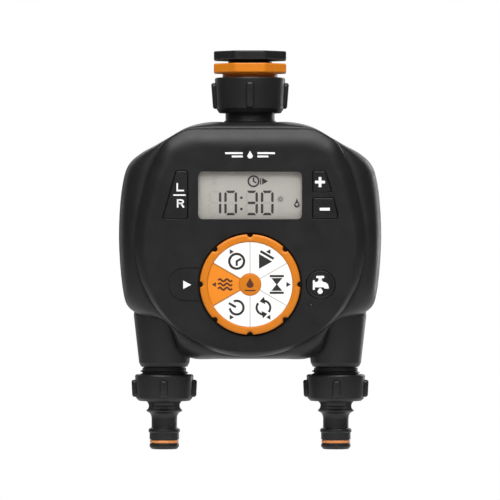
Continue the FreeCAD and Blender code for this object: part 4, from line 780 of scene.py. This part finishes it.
def peg(radius, y0, y1, x, z, steps=64):
    return lathe("peg", [(0, y0), (radius, y0), (radius, y1), (0, y1)], x=x, z=z, axis="Y", steps=steps)


def prism(name, loop, y0, y1, edge=0.0):
    """Closed outline pushed from y0 to y1, with small rounded edges front and back."""
    if edge <= 0:
        return stack(name, [at(loop, y0), at(loop, y1)])
    arc = edge_arc(edge, 4)
    front = [at(grow(loop, -shrink), y0 + depth) for shrink, depth in arc]
    back = [at(grow(loop, -shrink), y1 - depth) for shrink, depth in reversed(arc)]
    return stack(name, front + back)


BODY, RIM, FACE = smooth_loop(BODY_HALF), smooth_loop(RIM_HALF), smooth_loop(FACE_HALF)


def main_housing():
    """Body tub: barrel-sided shell with a ledge round its front opening and two hollow legs."""
    loops = [at(inset(BODY, shrink), PARTING_Y - depth) for shrink, depth in SEAM]
    loops += swell(BODY, RIM, BULGE_Y, COVER_BACK_Y + 0.35, 22)
    loops += [at(inset(RIM, shrink + 0.02), COVER_BACK_Y + depth) for shrink, depth in reversed(SEAM)][1:]
    loops += [at(inset(RIM, GASKET_LEDGE), COVER_BACK_Y), at(inset(RIM, GASKET_LEDGE), COVER_BACK_Y + WALL)]
    inner = swell(inset(BODY, WALL), inset(RIM, WALL + 0.4), BULGE_Y, COVER_BACK_Y + WALL, 12)
    loops += list(reversed(inner))
    loops += [at(inset(BODY, WALL), PARTING_Y)]
    loops.append(loops[0])
    shell = stack("main_housing_fine", loops, capped=False)
    leg = rounded([(0, -140.0), (16.4, -140.0), (16.9, -146.0), (13.95, -172.1, 0.8), (12.9, -174.2, 0.8),
                   (12.2, -174.5, 0.2), (0, -174.5)])
    combine(shell, [lathe("leg", leg, x=x, steps=144) for x in (-OUTLET_X, OUTLET_X)])
    bore = [(0, -130), (12.0, -130), (12.0, -180), (0, -180)]
    bores = [lathe("bore", bore, x=x) for x in (-OUTLET_X, OUTLET_X)]
    bores.append(lathe("neck", [(0, -50), (13.8, -50), (13.8, -39.7), (14.5, -38.9), (14.5, -35), (0, -35)]))
    combine(shell, bores, "DIFFERENCE")
    post = [(1.25, 12.8), (3.6, 12.8), (3.6, 17.4), (1.25, 17.4)]
    posts = [lathe("post", post, x=x, z=z, axis="Y", steps=48) for x, z in BODY_SCREWS]
    shell = merge("main_housing_fine", [shell] + posts)
    finish(shell, "housing", HOUSING, ["main_housing"], angle=38, even=True)


def rear_cover():
    """Back shell with battery opening, hinge knuckles and six screw wells."""
    loops = [at(inset(BODY, shrink), PARTING_Y + depth) for shrink, depth in SEAM]
    loops += swell(BODY, RIM, PARTING_Y + 0.5, BACK_Y, 22)
    loops.append(at(inset(RIM, GASKET_LEDGE), BACK_Y))
    inner = swell(inset(BODY, WALL), inset(RIM, WALL), PARTING_Y, BACK_Y - WALL, 12)
    loops_inner = [at(inset(RIM, GASKET_LEDGE), BACK_Y - WALL)] + list(reversed(inner))
    outer_shell = stack("rear_cover_fine", loops)
    room = stack("room", loops_inner + [at(inset(BODY, WALL), PARTING_Y - 4)])
    combine(outer_shell, [room], "DIFFERENCE")
    half, low, top = BATTERY_OPENING
    frame_loop = rounded(rectangle(-half - 2, half + 2, low - 2, top + 2), 7.0, 6)
    additions = [prism("frame", frame_loop, BACK_Y - 6, BACK_Y - 0.4)]
    additions += [peg(4.6, PARTING_Y, BACK_Y - 0.4, x, z) for x, z in BODY_SCREWS]
    for x0, x1 in ((-26.0, -18.0), (18.0, 26.0)):
        additions.append(cylinder_x("knuckle", HINGE_R, x0, x1, HINGE_Y, HINGE_Z))
        additions.append(solid_box("pad", (x0, BACK_Y - 1, HINGE_Z - HINGE_R), (x1, HINGE_Y, HINGE_Z)))
    combine(outer_shell, additions)
    cuts = [prism("opening", rounded(rectangle(-half, half, low, top), 5.0, 6), BACK_Y - 8, BACK_Y + 1)]
    foot = HINGE_Z - HINGE_R - 0.5
    cuts.append(solid_box("recess", (-18.0, BACK_Y - 1.6, foot), (18.0, BACK_Y + 3, low + 1)))
    well = [(0, BACK_Y - 9), (3.3, BACK_Y - 9), (3.3, BACK_Y - 0.5), (3.9, BACK_Y + 0.1), (3.9, BACK_Y + 1),
            (0, BACK_Y + 1)]
    for x, z in BODY_SCREWS:
        cuts.append(lathe("well", well, x=x, z=z, axis="Y", steps=64))
        cuts.append(peg(1.7, PARTING_Y - 1, BACK_Y, x, z, 32))
    combine(outer_shell, cuts, "DIFFERENCE")
    finish(outer_shell, "housing", HOUSING, ["rear_cover"], angle=38, even=True)


def rear_cover_screws():
    """Pan heads with cross recesses, down in their wells."""
    y = BACK_Y - 9
    profile = rounded([(0, y + 2.0), (1.6, y + 1.9, 0.5), (2.8, y + 0.9, 0.6), (2.8, y, 0.1), (1.25, y),
                       (1.25, y - 12), (0, y - 13)])
    screws = []
    for x, z in BODY_SCREWS:
        head = lathe("screw", profile, x=x, z=z, axis="Y", steps=48)
        slots = [solid_box("slot", (x - half_x, y + 0.9, z - half_z), (x + half_x, y + 3, z + half_z))
                 for half_x, half_z in ((1.7, 0.3), (0.3, 1.7))]
        screws.append(combine(head, slots, "DIFFERENCE"))
    obj = merge("rear_cover_screws_fine", screws)
    finish(obj, "housing", STEEL, ["rear_cover_screws"], angle=32)


def battery_door():
    """Flat battery lid with grip ridges, catch tongue and hinge barrel."""
    half, low, top = BATTERY_OPENING
    loop = rounded(rectangle(-half + 0.4, half - 0.4, low + 0.4, top - 0.4), 5.0, 6)
    lid = prism("battery_door_fine", loop, BACK_Y - 2.6, BACK_Y + 0.2, 0.35)
    parts = [solid_box("ridge", (-16, BACK_Y - 0.3, z), (16, BACK_Y + 0.9, z + 1.1), 0.3)
             for z in (-100.5 - 2.2 * i for i in range(5))]
    parts.append(solid_box("tongue", (-7, BACK_Y - 4.6, -95.7), (7, BACK_Y - 2.3, -94.1), 0.2))
    parts.append(solid_box("arm", (-17.7, BACK_Y - 1.2, HINGE_Z), (17.7, HINGE_Y, -154.3)))
    parts.append(cylinder_x("barrel", HINGE_R, -17.7, 17.7, HINGE_Y, HINGE_Z))
    combine(lid, parts)
    combine(lid, [cylinder_x("hole", 1.18, -19, 19, HINGE_Y, HINGE_Z, 0.0, 32)], "DIFFERENCE")
    finish(lid, "door", HOUSING, ["battery_door"], angle=35, even=True)
    pin = cylinder_x("door_hinge_pin_fine", 1.1, -26.0, 26.0, HINGE_Y, HINGE_Z, 0.2, 32)
    finish(pin, "housing", STEEL, ["door_hinge_pin"])


def batteries():
    """Four dry cells across the tray, every other one turned end for end."""
    jacket = [(0, -24.2), (6.3, -24.2), (6.6, -24.5, 0.2), (7.2, -24.6, 0.4), (7.2, 22.7, 0.4),
              (6.5, 22.9, 0.2), (0, 22.9)]
    base = [(0, -25.0), (5.6, -25.0, 0.2), (5.9, -24.7, 0.1), (5.9, -23.0), (0, -23.0)]
    tip = [(0, 22.0), (6.2, 22.0), (6.2, 23.2, 0.3), (2.8, 23.4, 0.3), (2.7, 25.0, 0.4), (0, 25.0)]
    band = [(7.0, 10.5), (7.22, 10.6), (7.22, 22.0), (7.0, 22.1)]
    groups = {"battery_jackets": ([jacket], CELL_BLACK), "battery_ends": ([base, tip], STEEL),
              "battery_bands": ([band], COPPER)}
    for name, (profiles, material) in groups.items():
        pieces = []
        for i in range(CELLS):
            for profile in profiles:
                piece = lathe("cell", rounded(profile), steps=72)
                pieces.append(lay_along_x(piece, CELL_Y, CELL_TOP_Z - CELL_PITCH * i, -1 if i % 2 else 1))
        finish(merge(name, pieces), "housing", material, ["batteries"], angle=30)


# ================================================================ front panel
def key_loop(points, offset, radius):
    return rounded(offset_polygon(points, offset), radius, 6)


def opening_chain(loop, y_front, y_back, verts, faces, lip):
    """Walls of a hole with a rounded lip; returns the outline it leaves in the front face."""
    rims = [at(grow(loop, spread), y_front + depth) for spread, depth in edge_arc(lip, 3)]
    skin(rims + [at(loop, y_back)], verts, faces)
    return grow(loop, lip)


def front_cover():
    """Shield-shaped face plate with display window, key openings, pointer groove and dial recess."""
    verts, faces = [], []
    shrink_arc = [(shrink + 0.02, COVER_BACK_Y - depth) for shrink, depth in SEAM]
    loops = [at(inset(RIM, WALL), COVER_BACK_Y)] + [at(inset(RIM, shrink), y) for shrink, y in shrink_arc]
    loops += cover_swell(RIM, FACE, COVER_EDGE_Y, FRONT_Y, 26)
    skin(loops, verts, faces)
    inner_face = inset(FACE, 1.2)
    skin([at(inset(RIM, WALL), COVER_BACK_Y), at(inset(RIM, WALL), COVER_EDGE_Y)]
         + cover_swell(inset(RIM, WALL), inner_face, COVER_EDGE_Y, INNER_Y, 10), verts, faces)
    through = [rounded(rectangle(-LCD_HALF_X, LCD_HALF_X, LCD_LOW_Z, LCD_TOP_Z), 3.0, 6)]
    through += [key_loop(points, 0.0, KEY_CORNER_R) for points in (SIDE_KEY, PLUS_KEY, MINUS_KEY)]
    through += [circle(MANUAL_R, MANUAL_X, MANUAL_Z), circle(LED_R + 0.05, LED_X, LED_Z, 32)]
    front_holes = [opening_chain(loop, FRONT_Y, INNER_Y, verts, faces, 0.25) for loop in through]
    recess = circle(RECESS_R, 0.0, DIAL_Z, 180)
    front_holes.append(opening_chain(recess, FRONT_Y, RECESS_Y, verts, faces, 0.3))
    shaft_hole = circle(4.12, 0.0, DIAL_Z, 48)
    flat_face(recess, [shaft_hole], RECESS_Y, verts, faces)
    backing = circle(29.4, 0.0, DIAL_Z, 180)
    wall(shaft_hole, RECESS_Y, RECESS_BACK_Y, verts, faces)
    wall(backing, RECESS_BACK_Y, INNER_Y, verts, faces)
    flat_face(backing, [shaft_hole], RECESS_BACK_Y, verts, faces)
    groove = pointer_groove()
    front_holes.append(groove)
    wall(groove, FRONT_Y, FRONT_Y + GROOVE_DEPTH, verts, faces)
    flat_face(groove, [], FRONT_Y + GROOVE_DEPTH, verts, faces)
    flat_face(FACE, front_holes, FRONT_Y, verts, faces)
    flat_face(inner_face, through + [backing], INNER_Y, verts, faces)
    cover = make_object("front_cover_fine", verts, faces)
    pillar = [(1.0, INNER_Y + 0.05), (2.6, INNER_Y + 0.05), (2.6, -23.4), (1.0, -23.4)]
    pillars = [lathe("pillar", pillar, x=x, z=z, axis="Y", steps=48) for x, z in PCB_SCREWS]
    cover = merge("front_cover_fine", [cover] + pillars)
    finish(cover, "housing", COVER, ["front_cover"], angle=38, even=True)


def pointer_groove():
    """Outline of the narrow groove that marks the pointer tab, open towards the dial."""
    half, wide, x = 9.2, 0.5, -35.6
    reach = -math.sqrt((RECESS_R + 0.6) ** 2 - half ** 2)
    outside = circle(half, x, DIAL_Z, 40, 90.0, 180.0)
    inside_arc = circle(half - wide, x, DIAL_Z, 40, 90.0, 180.0)
    return [(reach, DIAL_Z + half)] + outside + [(reach, DIAL_Z - half), (reach, DIAL_Z - half + wide)] \
        + list(reversed(inside_arc)) + [(reach, DIAL_Z + half - wide)]


def key_cap(name, points, stem_x, stem_z):
    """Key with a rounded edge, a hidden flange and a stem, through the face plate."""
    cap = key_loop(points, -KEY_GAP, KEY_CORNER_R - 0.2)
    loops = [at(grow(cap, -shrink), FRONT_Y - KEY_PROUD + depth) for shrink, depth in edge_arc(0.5, 5)]
    flange = grow(cap, 1.3)
    loops += [at(cap, INNER_Y + 0.1), at(flange, INNER_Y + 0.1), at(flange, INNER_Y + 1.3)]
    parts = [stack("cap", loops), peg(KEY_STEM_R, INNER_Y + 0.6, KEY_STEM_Y, stem_x, stem_z, 32)]
    obj = merge("button_" + name + "_fine", parts)
    finish(obj, "key_" + name, KEYS, ["button_" + name], angle=32, even=True)


def manual_key():
    y = FRONT_Y - KEY_PROUD
    r = MANUAL_R - KEY_GAP
    profile = [(0, y), (5.75, y, 0.15), (5.95, y + 0.3), (6.45, y + 0.3), (6.65, y, 0.15), (r, y, 0.3),
               (r, INNER_Y + 0.1), (MANUAL_R + 0.9, INNER_Y + 0.1), (MANUAL_R + 0.9, INNER_Y + 1.3),
               (KEY_STEM_R, INNER_Y + 1.3), (KEY_STEM_R, KEY_STEM_Y), (0, KEY_STEM_Y)]
    obj = lathe("button_manual_fine", rounded(profile), x=MANUAL_X, z=MANUAL_Z, axis="Y")
    finish(obj, "key_manual", KEYS, ["button_manual"], even=True)


def small_front_parts():
    """Window pane, indicator lens and display glass."""
    loop = rounded(rectangle(-LCD_HALF_X + 0.1, LCD_HALF_X - 0.1, LCD_LOW_Z + 0.1, LCD_TOP_Z - 0.1), 2.9, 6)
    wide = rounded(rectangle(-LCD_HALF_X - 2, LCD_HALF_X + 2, LCD_LOW_Z - 2, LCD_TOP_Z + 2), 1.9, 6)
    y = FRONT_Y + 0.4
    loops = [at(grow(loop, -0.3), y), at(grow(loop, -0.08), y + 0.08), at(loop, y + 0.3)]
    loops += [at(loop, INNER_Y + 0.1), at(wide, INNER_Y + 0.1), at(wide, INNER_Y + 1.1)]
    pane = stack("lcd_window_fine", loops)
    finish(pane, "housing", WINDOW, ["lcd_window"], even=True)
    lens = [(0, FRONT_Y - 0.1), (0.45, FRONT_Y - 0.05), (LED_R, FRONT_Y + 0.25), (LED_R, -30.9),
            (1.5, -30.9, 0.1), (1.5, -28.1, 0.2), (0, -28.1)]
    led = lathe("status_led_fine", rounded(lens), x=LED_X, z=LED_Z, axis="Y", steps=48)
    finish(led, "housing", LED_LENS, ["status_led"])
    low, high = (-LCD_HALF_X - 1, LCD_Y, LCD_LOW_Z - 1), (LCD_HALF_X + 1, LCD_Y + 1.8, LCD_TOP_Z + 1)
    glass = solid_box("lcd_glass_fine", low, high, 0.15)
    finish(glass, "housing", LCD_BACK, ["lcd_glass"])


# ================================================================ printed marks
def print_mark(name, shapes, y, body, material, thickness=PRINT_THICKNESS):
    """Thin raised print; each shape is (outline, holes) in the XZ plane with its face at y."""
    verts, faces = [], []
    for outer, holes in shapes:
        for loop in [outer] + holes:
            wall(loop, y, y + thickness, verts, faces)
        flat_face(outer, holes, y, verts, faces)
        flat_face(outer, holes, y + thickness, verts, faces)
    finish(make_object(name, verts, faces), body, material)


def stroke(points, width):
    """Outline of an open line of the given width with mitred bends."""
    left, right = [], []
    for i, here in enumerate(points):
        here = Vector(here)
        sides = []
        if i > 0:
            sides.append((here - Vector(points[i - 1])).normalized())
        if i < len(points) - 1:
            sides.append((Vector(points[i + 1]) - here).normalized())
        along = sum(sides, Vector((0, 0))).normalized() if len(sides) > 1 else sides[0]
        scale = width / 2 / max(0.35, along.dot(sides[0]))
        normal = Vector((-along.y, along.x)) * scale
        left.append(tuple(here + normal))
        right.append(tuple(here - normal))
    return left + list(reversed(right)), []


def ring_mark(r_out, r_in, steps=48):
    return circle(r_out, 0, 0, steps), [circle(r_in, 0, 0, steps)]


def drop(x, z, height, width):
    """Water drop outline with its tip up."""
    r = width / 2
    low = z - height / 2 + r
    tip = (x, z + height / 2)
    right = bend(tip, (x + 0.15 * r, low + 1.5 * r), (x + r, low), 8)
    bottom = circle(r, x, low, 24, 0.0, -180.0)
    left = [(2 * x - px, pz) for px, pz in reversed(right)]
    return right[:-1] + bottom + left[1:-1], []


def place(shapes, x, z, scale=1.0, turn=0.0):
    """Shapes drawn about the origin, scaled, turned and moved."""
    c, s = polar(scale, turn)

    def move(loop):
        return [(x + px * c - pz * s, z + px * s + pz * c) for px, pz in loop]

    return [(move(outer), [move(hole) for hole in holes]) for outer, holes in shapes]


# ================================================================ dial
def dial_radius(ring_r):
    """Radius function of the knob's rim at a given size, with its eight finger notches."""
    bite = 1.5 + (DIAL_R - ring_r)
    middle = DIAL_R - 0.1

    def radius(angle):
        off = (angle + math.pi / 8) % (math.pi / 4) - math.pi / 8
        side = middle * math.sin(off)
        if abs(side) >= bite:
            return ring_r
        return min(ring_r, middle * math.cos(off) - math.sqrt(bite * bite - side * side))
    return radius


def dial_knob():
    """Orange knob: notched grip rim, sunk face for the label, hub and stem, turned in one skin."""
    y = DIAL_FRONT_Y
    rings = [(0.4, HUB_Y), (5.4, HUB_Y), (5.85, y + 0.28), (6.1, y + 0.55), (6.1, y + 0.9), (23.2, y + 0.9),
             (23.25, y + 0.45), (23.5, y + 0.15), (23.9, y), (26.0, y), (26.7, y + 0.12), (27.15, y + 0.4),
             (DIAL_R, y + 0.9), (DIAL_R, DIAL_BACK_Y - 0.2), (27.2, DIAL_BACK_Y), (4.0, DIAL_BACK_Y),
             (4.0, RECESS_BACK_Y + 0.6), (0.4, RECESS_BACK_Y + 0.6)]
    steps, loops = 720, []
    angles = [2 * math.pi * i / steps for i in range(steps)]
    for ring_r, depth in rings:
        notched = dial_radius(ring_r)
        radii = [notched(a) if ring_r > 25 else ring_r for a in angles]
        loops.append([(r * math.cos(a), depth, DIAL_Z + r * math.sin(a)) for r, a in zip(radii, angles)])
    knob = stack("dial_knob_fine", loops)
    finish(knob, "dial", DIAL_ORANGE, ["dial_knob"], angle=40, even=True)


def dial_label():
    """White label ring with one orange sixth that points at the tab."""
    y = LABEL_Y
    profile = rounded([(6.2, y), (23.1, y, 0.12), (23.1, y + 0.4), (6.2, y + 0.4)])
    white = lathe("dial_label_white", profile, z=DIAL_Z, axis="Y", steps=200, start=-150, span=300)
    finish(white, "dial", LABEL_WHITE, ["dial_label"], even=True)
    orange = lathe("dial_label_orange", profile, z=DIAL_Z, axis="Y", steps=60, start=150, span=60)
    finish(orange, "dial", LABEL_ORANGE, ["dial_label"], even=True)


def sector_line(angle, r0, r1, width):
    return stroke([polar(r, angle, 0.0, DIAL_Z) for r in (r0, r1)], width)


def clock_icon():
    return [ring_mark(3.9, 2.8), stroke([(0, 2.4), (0, 0), (1.8, -1.0)], 1.0)]


def play_icon():
    return [([(-1.9, 3.5), (4.0, 0), (-1.9, -3.5)], []), stroke([(-3.3, 3.5), (-3.3, -3.5)], 1.1)]


def hourglass_icon():
    frame_lines = [stroke([(-3.2, side * 3.8), (3.2, side * 3.8)], 1.0) for side in (-1, 1)]
    halves = [([(-2.5, side * 2.9), (2.5, side * 2.9), (0, -side * 0.2)], []) for side in (-1, 1)]
    return frame_lines + halves


def repeat_icon():
    loop = []
    for start in (20.0, 200.0):
        loop.append(stroke(circle(3.1, 0, 0, 24, start, 125.0), 1.0))
        tip = math.radians(start + 140)
        x, z = 3.1 * math.cos(tip), 3.1 * math.sin(tip)
        along, out = (-math.sin(tip), math.cos(tip)), (math.cos(tip), math.sin(tip))
        head = [(x + along[0] * 1.3, z + along[1] * 1.3)]
        head += [(x + out[0] * k - along[0] * 1.1, z + out[1] * k - along[1] * 1.1) for k in (1.7, -1.7)]
        loop.append((head, []))
    return loop


def off_icon():
    return [stroke(circle(3.1, 0, 0, 40, 125.0, 290.0), 1.05), stroke([(0, 4.1), (0, 0.4)], 1.05)]


def run_icon():
    waves = []
    for k in (-1, 0, 1):
        points = [(-3.2 + 0.4 * i, k * 1.9 + 0.55 * math.sin(i * 0.785)) for i in range(17)]
        waves.append(stroke(points, 0.85))
    return waves


def dial_print():
    """Dividers, position marks and pictograms on the dial label; they turn with the knob."""
    y = LABEL_Y - PRINT_LIFT
    dividers = [sector_line(a, 6.2, 23.0, 0.55) for a in (90, 30, -30, -90)]
    print_mark("dial_dividers", dividers, y, "dial", LABEL_GREY)
    edges = [sector_line(a, 6.2, 23.1, 0.8) for a in (150, 210)]
    print_mark("dial_sector_edges", edges, y, "dial", LABEL_EDGE)
    marks = []
    pointer = [([(1.25, 0), (-1.0, 1.3), (-1.0, -1.3)], [])]
    icons = {120: clock_icon(), 60: play_icon(), 0: hourglass_icon(), -60: repeat_icon(), -120: off_icon()}
    for angle, icon in icons.items():
        marks += place(pointer, *polar(POINTER_R, angle, 0.0, DIAL_Z), 1.05, angle)
        marks += place(icon, *polar(ICON_R, angle, 0.0, DIAL_Z), ICON_SCALE, angle + 180)
    print_mark("dial_icons", marks, y - 0.02, "dial", PRINT_BLACK)
    run = place(pointer, -19.6, DIAL_Z, 1.0, 180) + place(run_icon(), -13.6, DIAL_Z, ICON_SCALE)
    print_mark("dial_run_icon", run, y - 0.02, "dial", PRINT_BROWN)
    hub = [drop(0, DIAL_Z + 0.9, 5.6, 4.0), stroke([(-3.0, DIAL_Z - 3.3), (3.0, DIAL_Z - 3.3)], 0.7)]
    print_mark("dial_hub_drop", hub, HUB_Y - PRINT_LIFT, "dial", PRINT_BROWN)


# ================================================================ prints on the face and keys
def letter_l():
    return [stroke([(-2.0, 2.4), (-2.0, -1.95), (1.9, -1.95)], 0.9)]


def letter_r():
    bowl = [(-1.6, 1.95), (0.2, 1.95), (1.3, 1.6), (1.65, 1.0), (1.3, 0.35), (0.3, 0.0), (-1.6, 0.0)]
    stem, leg = [(-1.6, 2.4), (-1.6, -2.4)], [(0.2, 0.1), (1.9, -2.4)]
    return [stroke(stem, 0.9), stroke(bowl, 0.85), stroke(leg, 0.95)]


def tap_icon():
    """Garden tap with a drop under it."""
    body = [(-3.0, 1.5), (-1.6, 1.6), (-0.9, 2.6), (0.9, 2.6), (1.6, 1.6), (3.0, 1.3), (4.2, 0.3),
            (4.65, -1.0), (4.65, -2.1), (2.4, -2.1), (1.9, -1.4), (-3.0, -1.4)]
    handle = rounded(rectangle(-2.2, 2.2, 3.6, 4.9), 0.55, 4)
    stem = rectangle(-0.95, 0.95, 2.4, 3.8)
    flange = rounded(rectangle(-4.0, -2.9, -2.8, 2.5), 0.4, 4)
    return [(body, []), (handle, []), (stem, []), (flange, []), drop(0, -3.45, 3.0, 2.9)]


def plus_sign(reach, half):
    corners = [(reach, half), (half, half), (half, reach)]
    outline = []
    for turn in range(4):
        for x, z in corners:
            for _ in range(turn):
                x, z = -z, x
            outline.append((x, z))
    return outline, []


def face_print():
    """White marks on the keys, the pointer tab and the head of the face plate."""
    side = place(letter_l(), -37.9, -75.5, 0.94) + [stroke([(-41.9, -79.8), (-35.2, -79.8)], 0.75)]
    side += place(letter_r(), -38.0, -84.3, 0.96)
    tab = [([(-36.5, -126.5), (-32.1, -128.8), (-36.5, -131.1)], [])]
    head = [drop(0, -57.7, 4.2, 3.0)]
    for way in (-1, 1):
        head += [stroke([(way * 4.0, z), (way * x, z)], 1.0) for x, z in ((13.6, -56.9), (10.0, -58.7))]
    key_marks = {
        "left_right": side, "plus": place([plus_sign(2.75, 0.75)], 38.2, -72.7),
        "minus": [stroke([(38.05, -87.5), (43.55, -87.5)], 1.55)],
        "manual": place(tap_icon(), MANUAL_X - 0.3, MANUAL_Z),
    }
    for name, shapes in key_marks.items():
        print_mark("print_" + name, shapes, FRONT_Y - KEY_PROUD - PRINT_LIFT, "key_" + name, PRINT_WHITE)
    for name, shapes in (("print_pointer", tab), ("print_head", head)):
        print_mark(name, shapes, FRONT_Y - PRINT_LIFT, "housing", PRINT_WHITE)


# ================================================================ display
SEGMENTS = {"0": "abcdef", "1": "bc", "3": "abcdg", "8": "abcdefg"}


def segment_shapes(x0, letters):
    """Outlines of the named bars of a seven-bar digit whose left edge is at x0."""
    w, top, low, t = 7.0, -77.3, -90.8, 1.35
    x1, middle = x0 + w, (top + low) / 2
    bars = {
        "a": [(x0 + 1.0, top), (x1 - 1.0, top), (x1 - 1.9, top - t), (x0 + 1.9, top - t)],
        "d": [(x0 + 1.0, low), (x1 - 1.0, low), (x1 - 1.9, low + t), (x0 + 1.9, low + t)],
        "g": [(x0 + 1.1, middle), (x0 + 1.8, middle + t / 2), (x1 - 1.8, middle + t / 2), (x1 - 1.1, middle),
              (x1 - 1.8, middle - t / 2), (x0 + 1.8, middle - t / 2)],
    }
    uprights = (("f", x0, 1, top), ("b", x1, -1, top), ("e", x0, 1, low), ("c", x1, -1, low))
    for name, x, inward, high in uprights:
        way = -1 if high > middle else 1
        bars[name] = [(x, high + way * 1.5), (x + inward * 0.6, high + way * 0.75),
                      (x + inward * t, high + way * 1.5), (x + inward * t, middle - way * 0.9),
                      (x + inward * 0.5, middle - way * 0.4), (x, middle - way * 0.7)]
    return [(bars[letter], []) for letter in letters]


def display():
    """Digits and small signs of the display, with the faint bars that are switched off."""
    cells = [(-22.7, "1"), (-14.1, "0"), (-2.7, "3"), (5.9, "0")]
    lit, unlit = [], []
    for x0, digit in cells:
        lit += segment_shapes(x0, SEGMENTS[digit])
        unlit += segment_shapes(x0, [s for s in SEGMENTS["8"] if s not in SEGMENTS[digit]])
    lit += [(circle(0.75, -4.75, z, 24), []) for z in (-81.2, -87.4)]
    lit += place(clock_icon(), 1.9, -72.2, 0.85) + place(play_icon(), 7.6, -72.2, 0.55)
    sun = [ring_mark(1.05, 0.6, 32)]
    for i in range(8):
        sun.append(stroke([polar(1.35, 45 * i), polar(1.95, 45 * i)], 0.35))
    lit += place(sun, 16.6, -82.0)
    outer, _ = drop(25.6, -83.9, 5.4, 3.1)
    lit.append((outer, [circle(0.75, 25.6, -84.9, 24)]))
    unlit += place(run_icon(), 16.6, -87.2, 0.5) + place(hourglass_icon(), -19.5, -71.8, 0.6)
    print_mark("lcd_digits", lit, LCD_Y - 0.05, "housing", LCD_DARK, 0.045)
    print_mark("lcd_ghosts", unlit, LCD_Y - 0.04, "housing", LCD_GHOST, 0.045)


# ================================================================ inner pieces from the CAD frame
INNER = {
    "reducer_washer": BLACK_RUBBER, "adaptor_washer": BLACK_RUBBER, "inlet_filter": SILICONE,
    "nut_retaining_ring": STEEL, "spigot_oring": ORANGE_RUBBER, "housing_gasket": BLACK_RUBBER,
    "cover_gasket": BLACK_RUBBER, "battery_tray": VALVE_PLASTIC, "battery_contacts": STEEL,
    "front_cover_screws": STEEL, "lcd_frame": WHITE_PLASTIC, "main_pcb": BOARD, "pcb_screws": STEEL,
    "dial_switch": VALVE_PLASTIC, "keypad_mat": SILICONE, "dial_shaft": WHITE_PLASTIC,
    "dial_spring_clip": STEEL, "valve_bonnet_screws": STEEL, "battery_lead": LEAD_RED,
}
INNER_EACH_SIDE = {
    "diaphragm": BLACK_RUBBER, "valve_bonnet": VALVE_PLASTIC, "solenoid": COPPER, "plunger": PLUNGER_STEEL,
    "plunger_spring": STEEL, "solenoid_lead": LEAD_RED, "outlet_washer": BLACK_RUBBER,
}


def inner_pieces():
    """Gives every CAD piece that is shown as it is a procedural finish."""
    finishes = dict(INNER)
    for side in ("left_", "right_"):
        finishes.update({side + name: material for name, material in INNER_EACH_SIDE.items()})
    for name, material in finishes.items():
        paint(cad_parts[name], material)
    for side, name in ((-1, "left"), (1, "right")):
        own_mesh(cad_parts[name + "_plunger_spring"])


# ================================================================ light, floor and camera
def area_light(name, size_x, size_y, location, power):
    light = bpy.data.lights.new(name, "AREA")
    light.shape = "RECTANGLE"
    light.size, light.size_y = size_x, size_y
    light.energy = power
    obj = bpy.data.objects.new(name, light)
    obj.location = location
    obj.rotation_euler = (Vector(LIGHT_TARGET) - Vector(location)).to_track_quat("-Z", "Y").to_euler()
    bpy.context.scene.collection.objects.link(obj)


def studio():
    """White surroundings for the camera, dimmer for the light, and a floor far below the timer."""
    world = bpy.data.worlds.new("studio")
    bpy.context.scene.world = world
    world.use_nodes = True
    tree = world.node_tree
    tree.nodes.clear()
    white = {"Color": (1.0, 1.0, 1.0, 1.0)}
    seen, lit = (add_node(tree, "Background", {**white, "Strength": strength}, {}).outputs[0]
                 for strength in (1.0, WORLD_LIGHT))
    path = tree.nodes.new("ShaderNodeLightPath").outputs["Is Camera Ray"]
    mix = add_node(tree, "MixShader", {}, {0: path, 1: lit, 2: seen})
    add_node(tree, "OutputWorld", {}, {"Surface": mix.outputs[0]})
    for name, settings in LIGHTS.items():
        area_light(name, *settings)
    floor_loop = rectangle(-FLOOR_HALF, FLOOR_HALF, -FLOOR_HALF, FLOOR_HALF)
    floor = make_object("studio_floor", [(x, y, FLOOR_Z) for x, y in floor_loop], [(0, 1, 2, 3)])
    floor.data.materials.append(moulded("studio_floor", (0.80, 0.80, 0.79), 0.7, contrast=0.02))
    scene = bpy.context.scene
    scene.view_settings.view_transform = "Standard"
    scene.view_settings.look = "None"
    scene.view_settings.exposure = 0.0
    scene.view_settings.gamma = 1.0


def camera():
    data = bpy.data.cameras.new("camera")
    data.sensor_width = SENSOR_MM
    data.lens = LENS_MM
    data.clip_end = 50.0
    obj = bpy.data.objects.new("camera", data)
    obj.location = CAMERA_PLACE
    obj.rotation_euler = (math.pi / 2, 0, 0)
    bpy.context.scene.collection.objects.link(obj)
    bpy.context.scene.camera = obj


tap_reducer()
tap_adaptor()
inlet_swivel_nut()
inlet_spigot()
tap_connector(-1)
tap_connector(1)
valve_manifold()
main_housing()
rear_cover()
rear_cover_screws()
battery_door()
batteries()
front_cover()
key_cap("left_right", SIDE_KEY, -39.5, -80.0)
key_cap("plus", PLUS_KEY, 38.5, -72.5)
key_cap("minus", MINUS_KEY, 40.0, -87.0)
manual_key()
small_front_parts()
dial_knob()
dial_label()
dial_print()
face_print()
display()
inner_pieces()
studio()
camera()
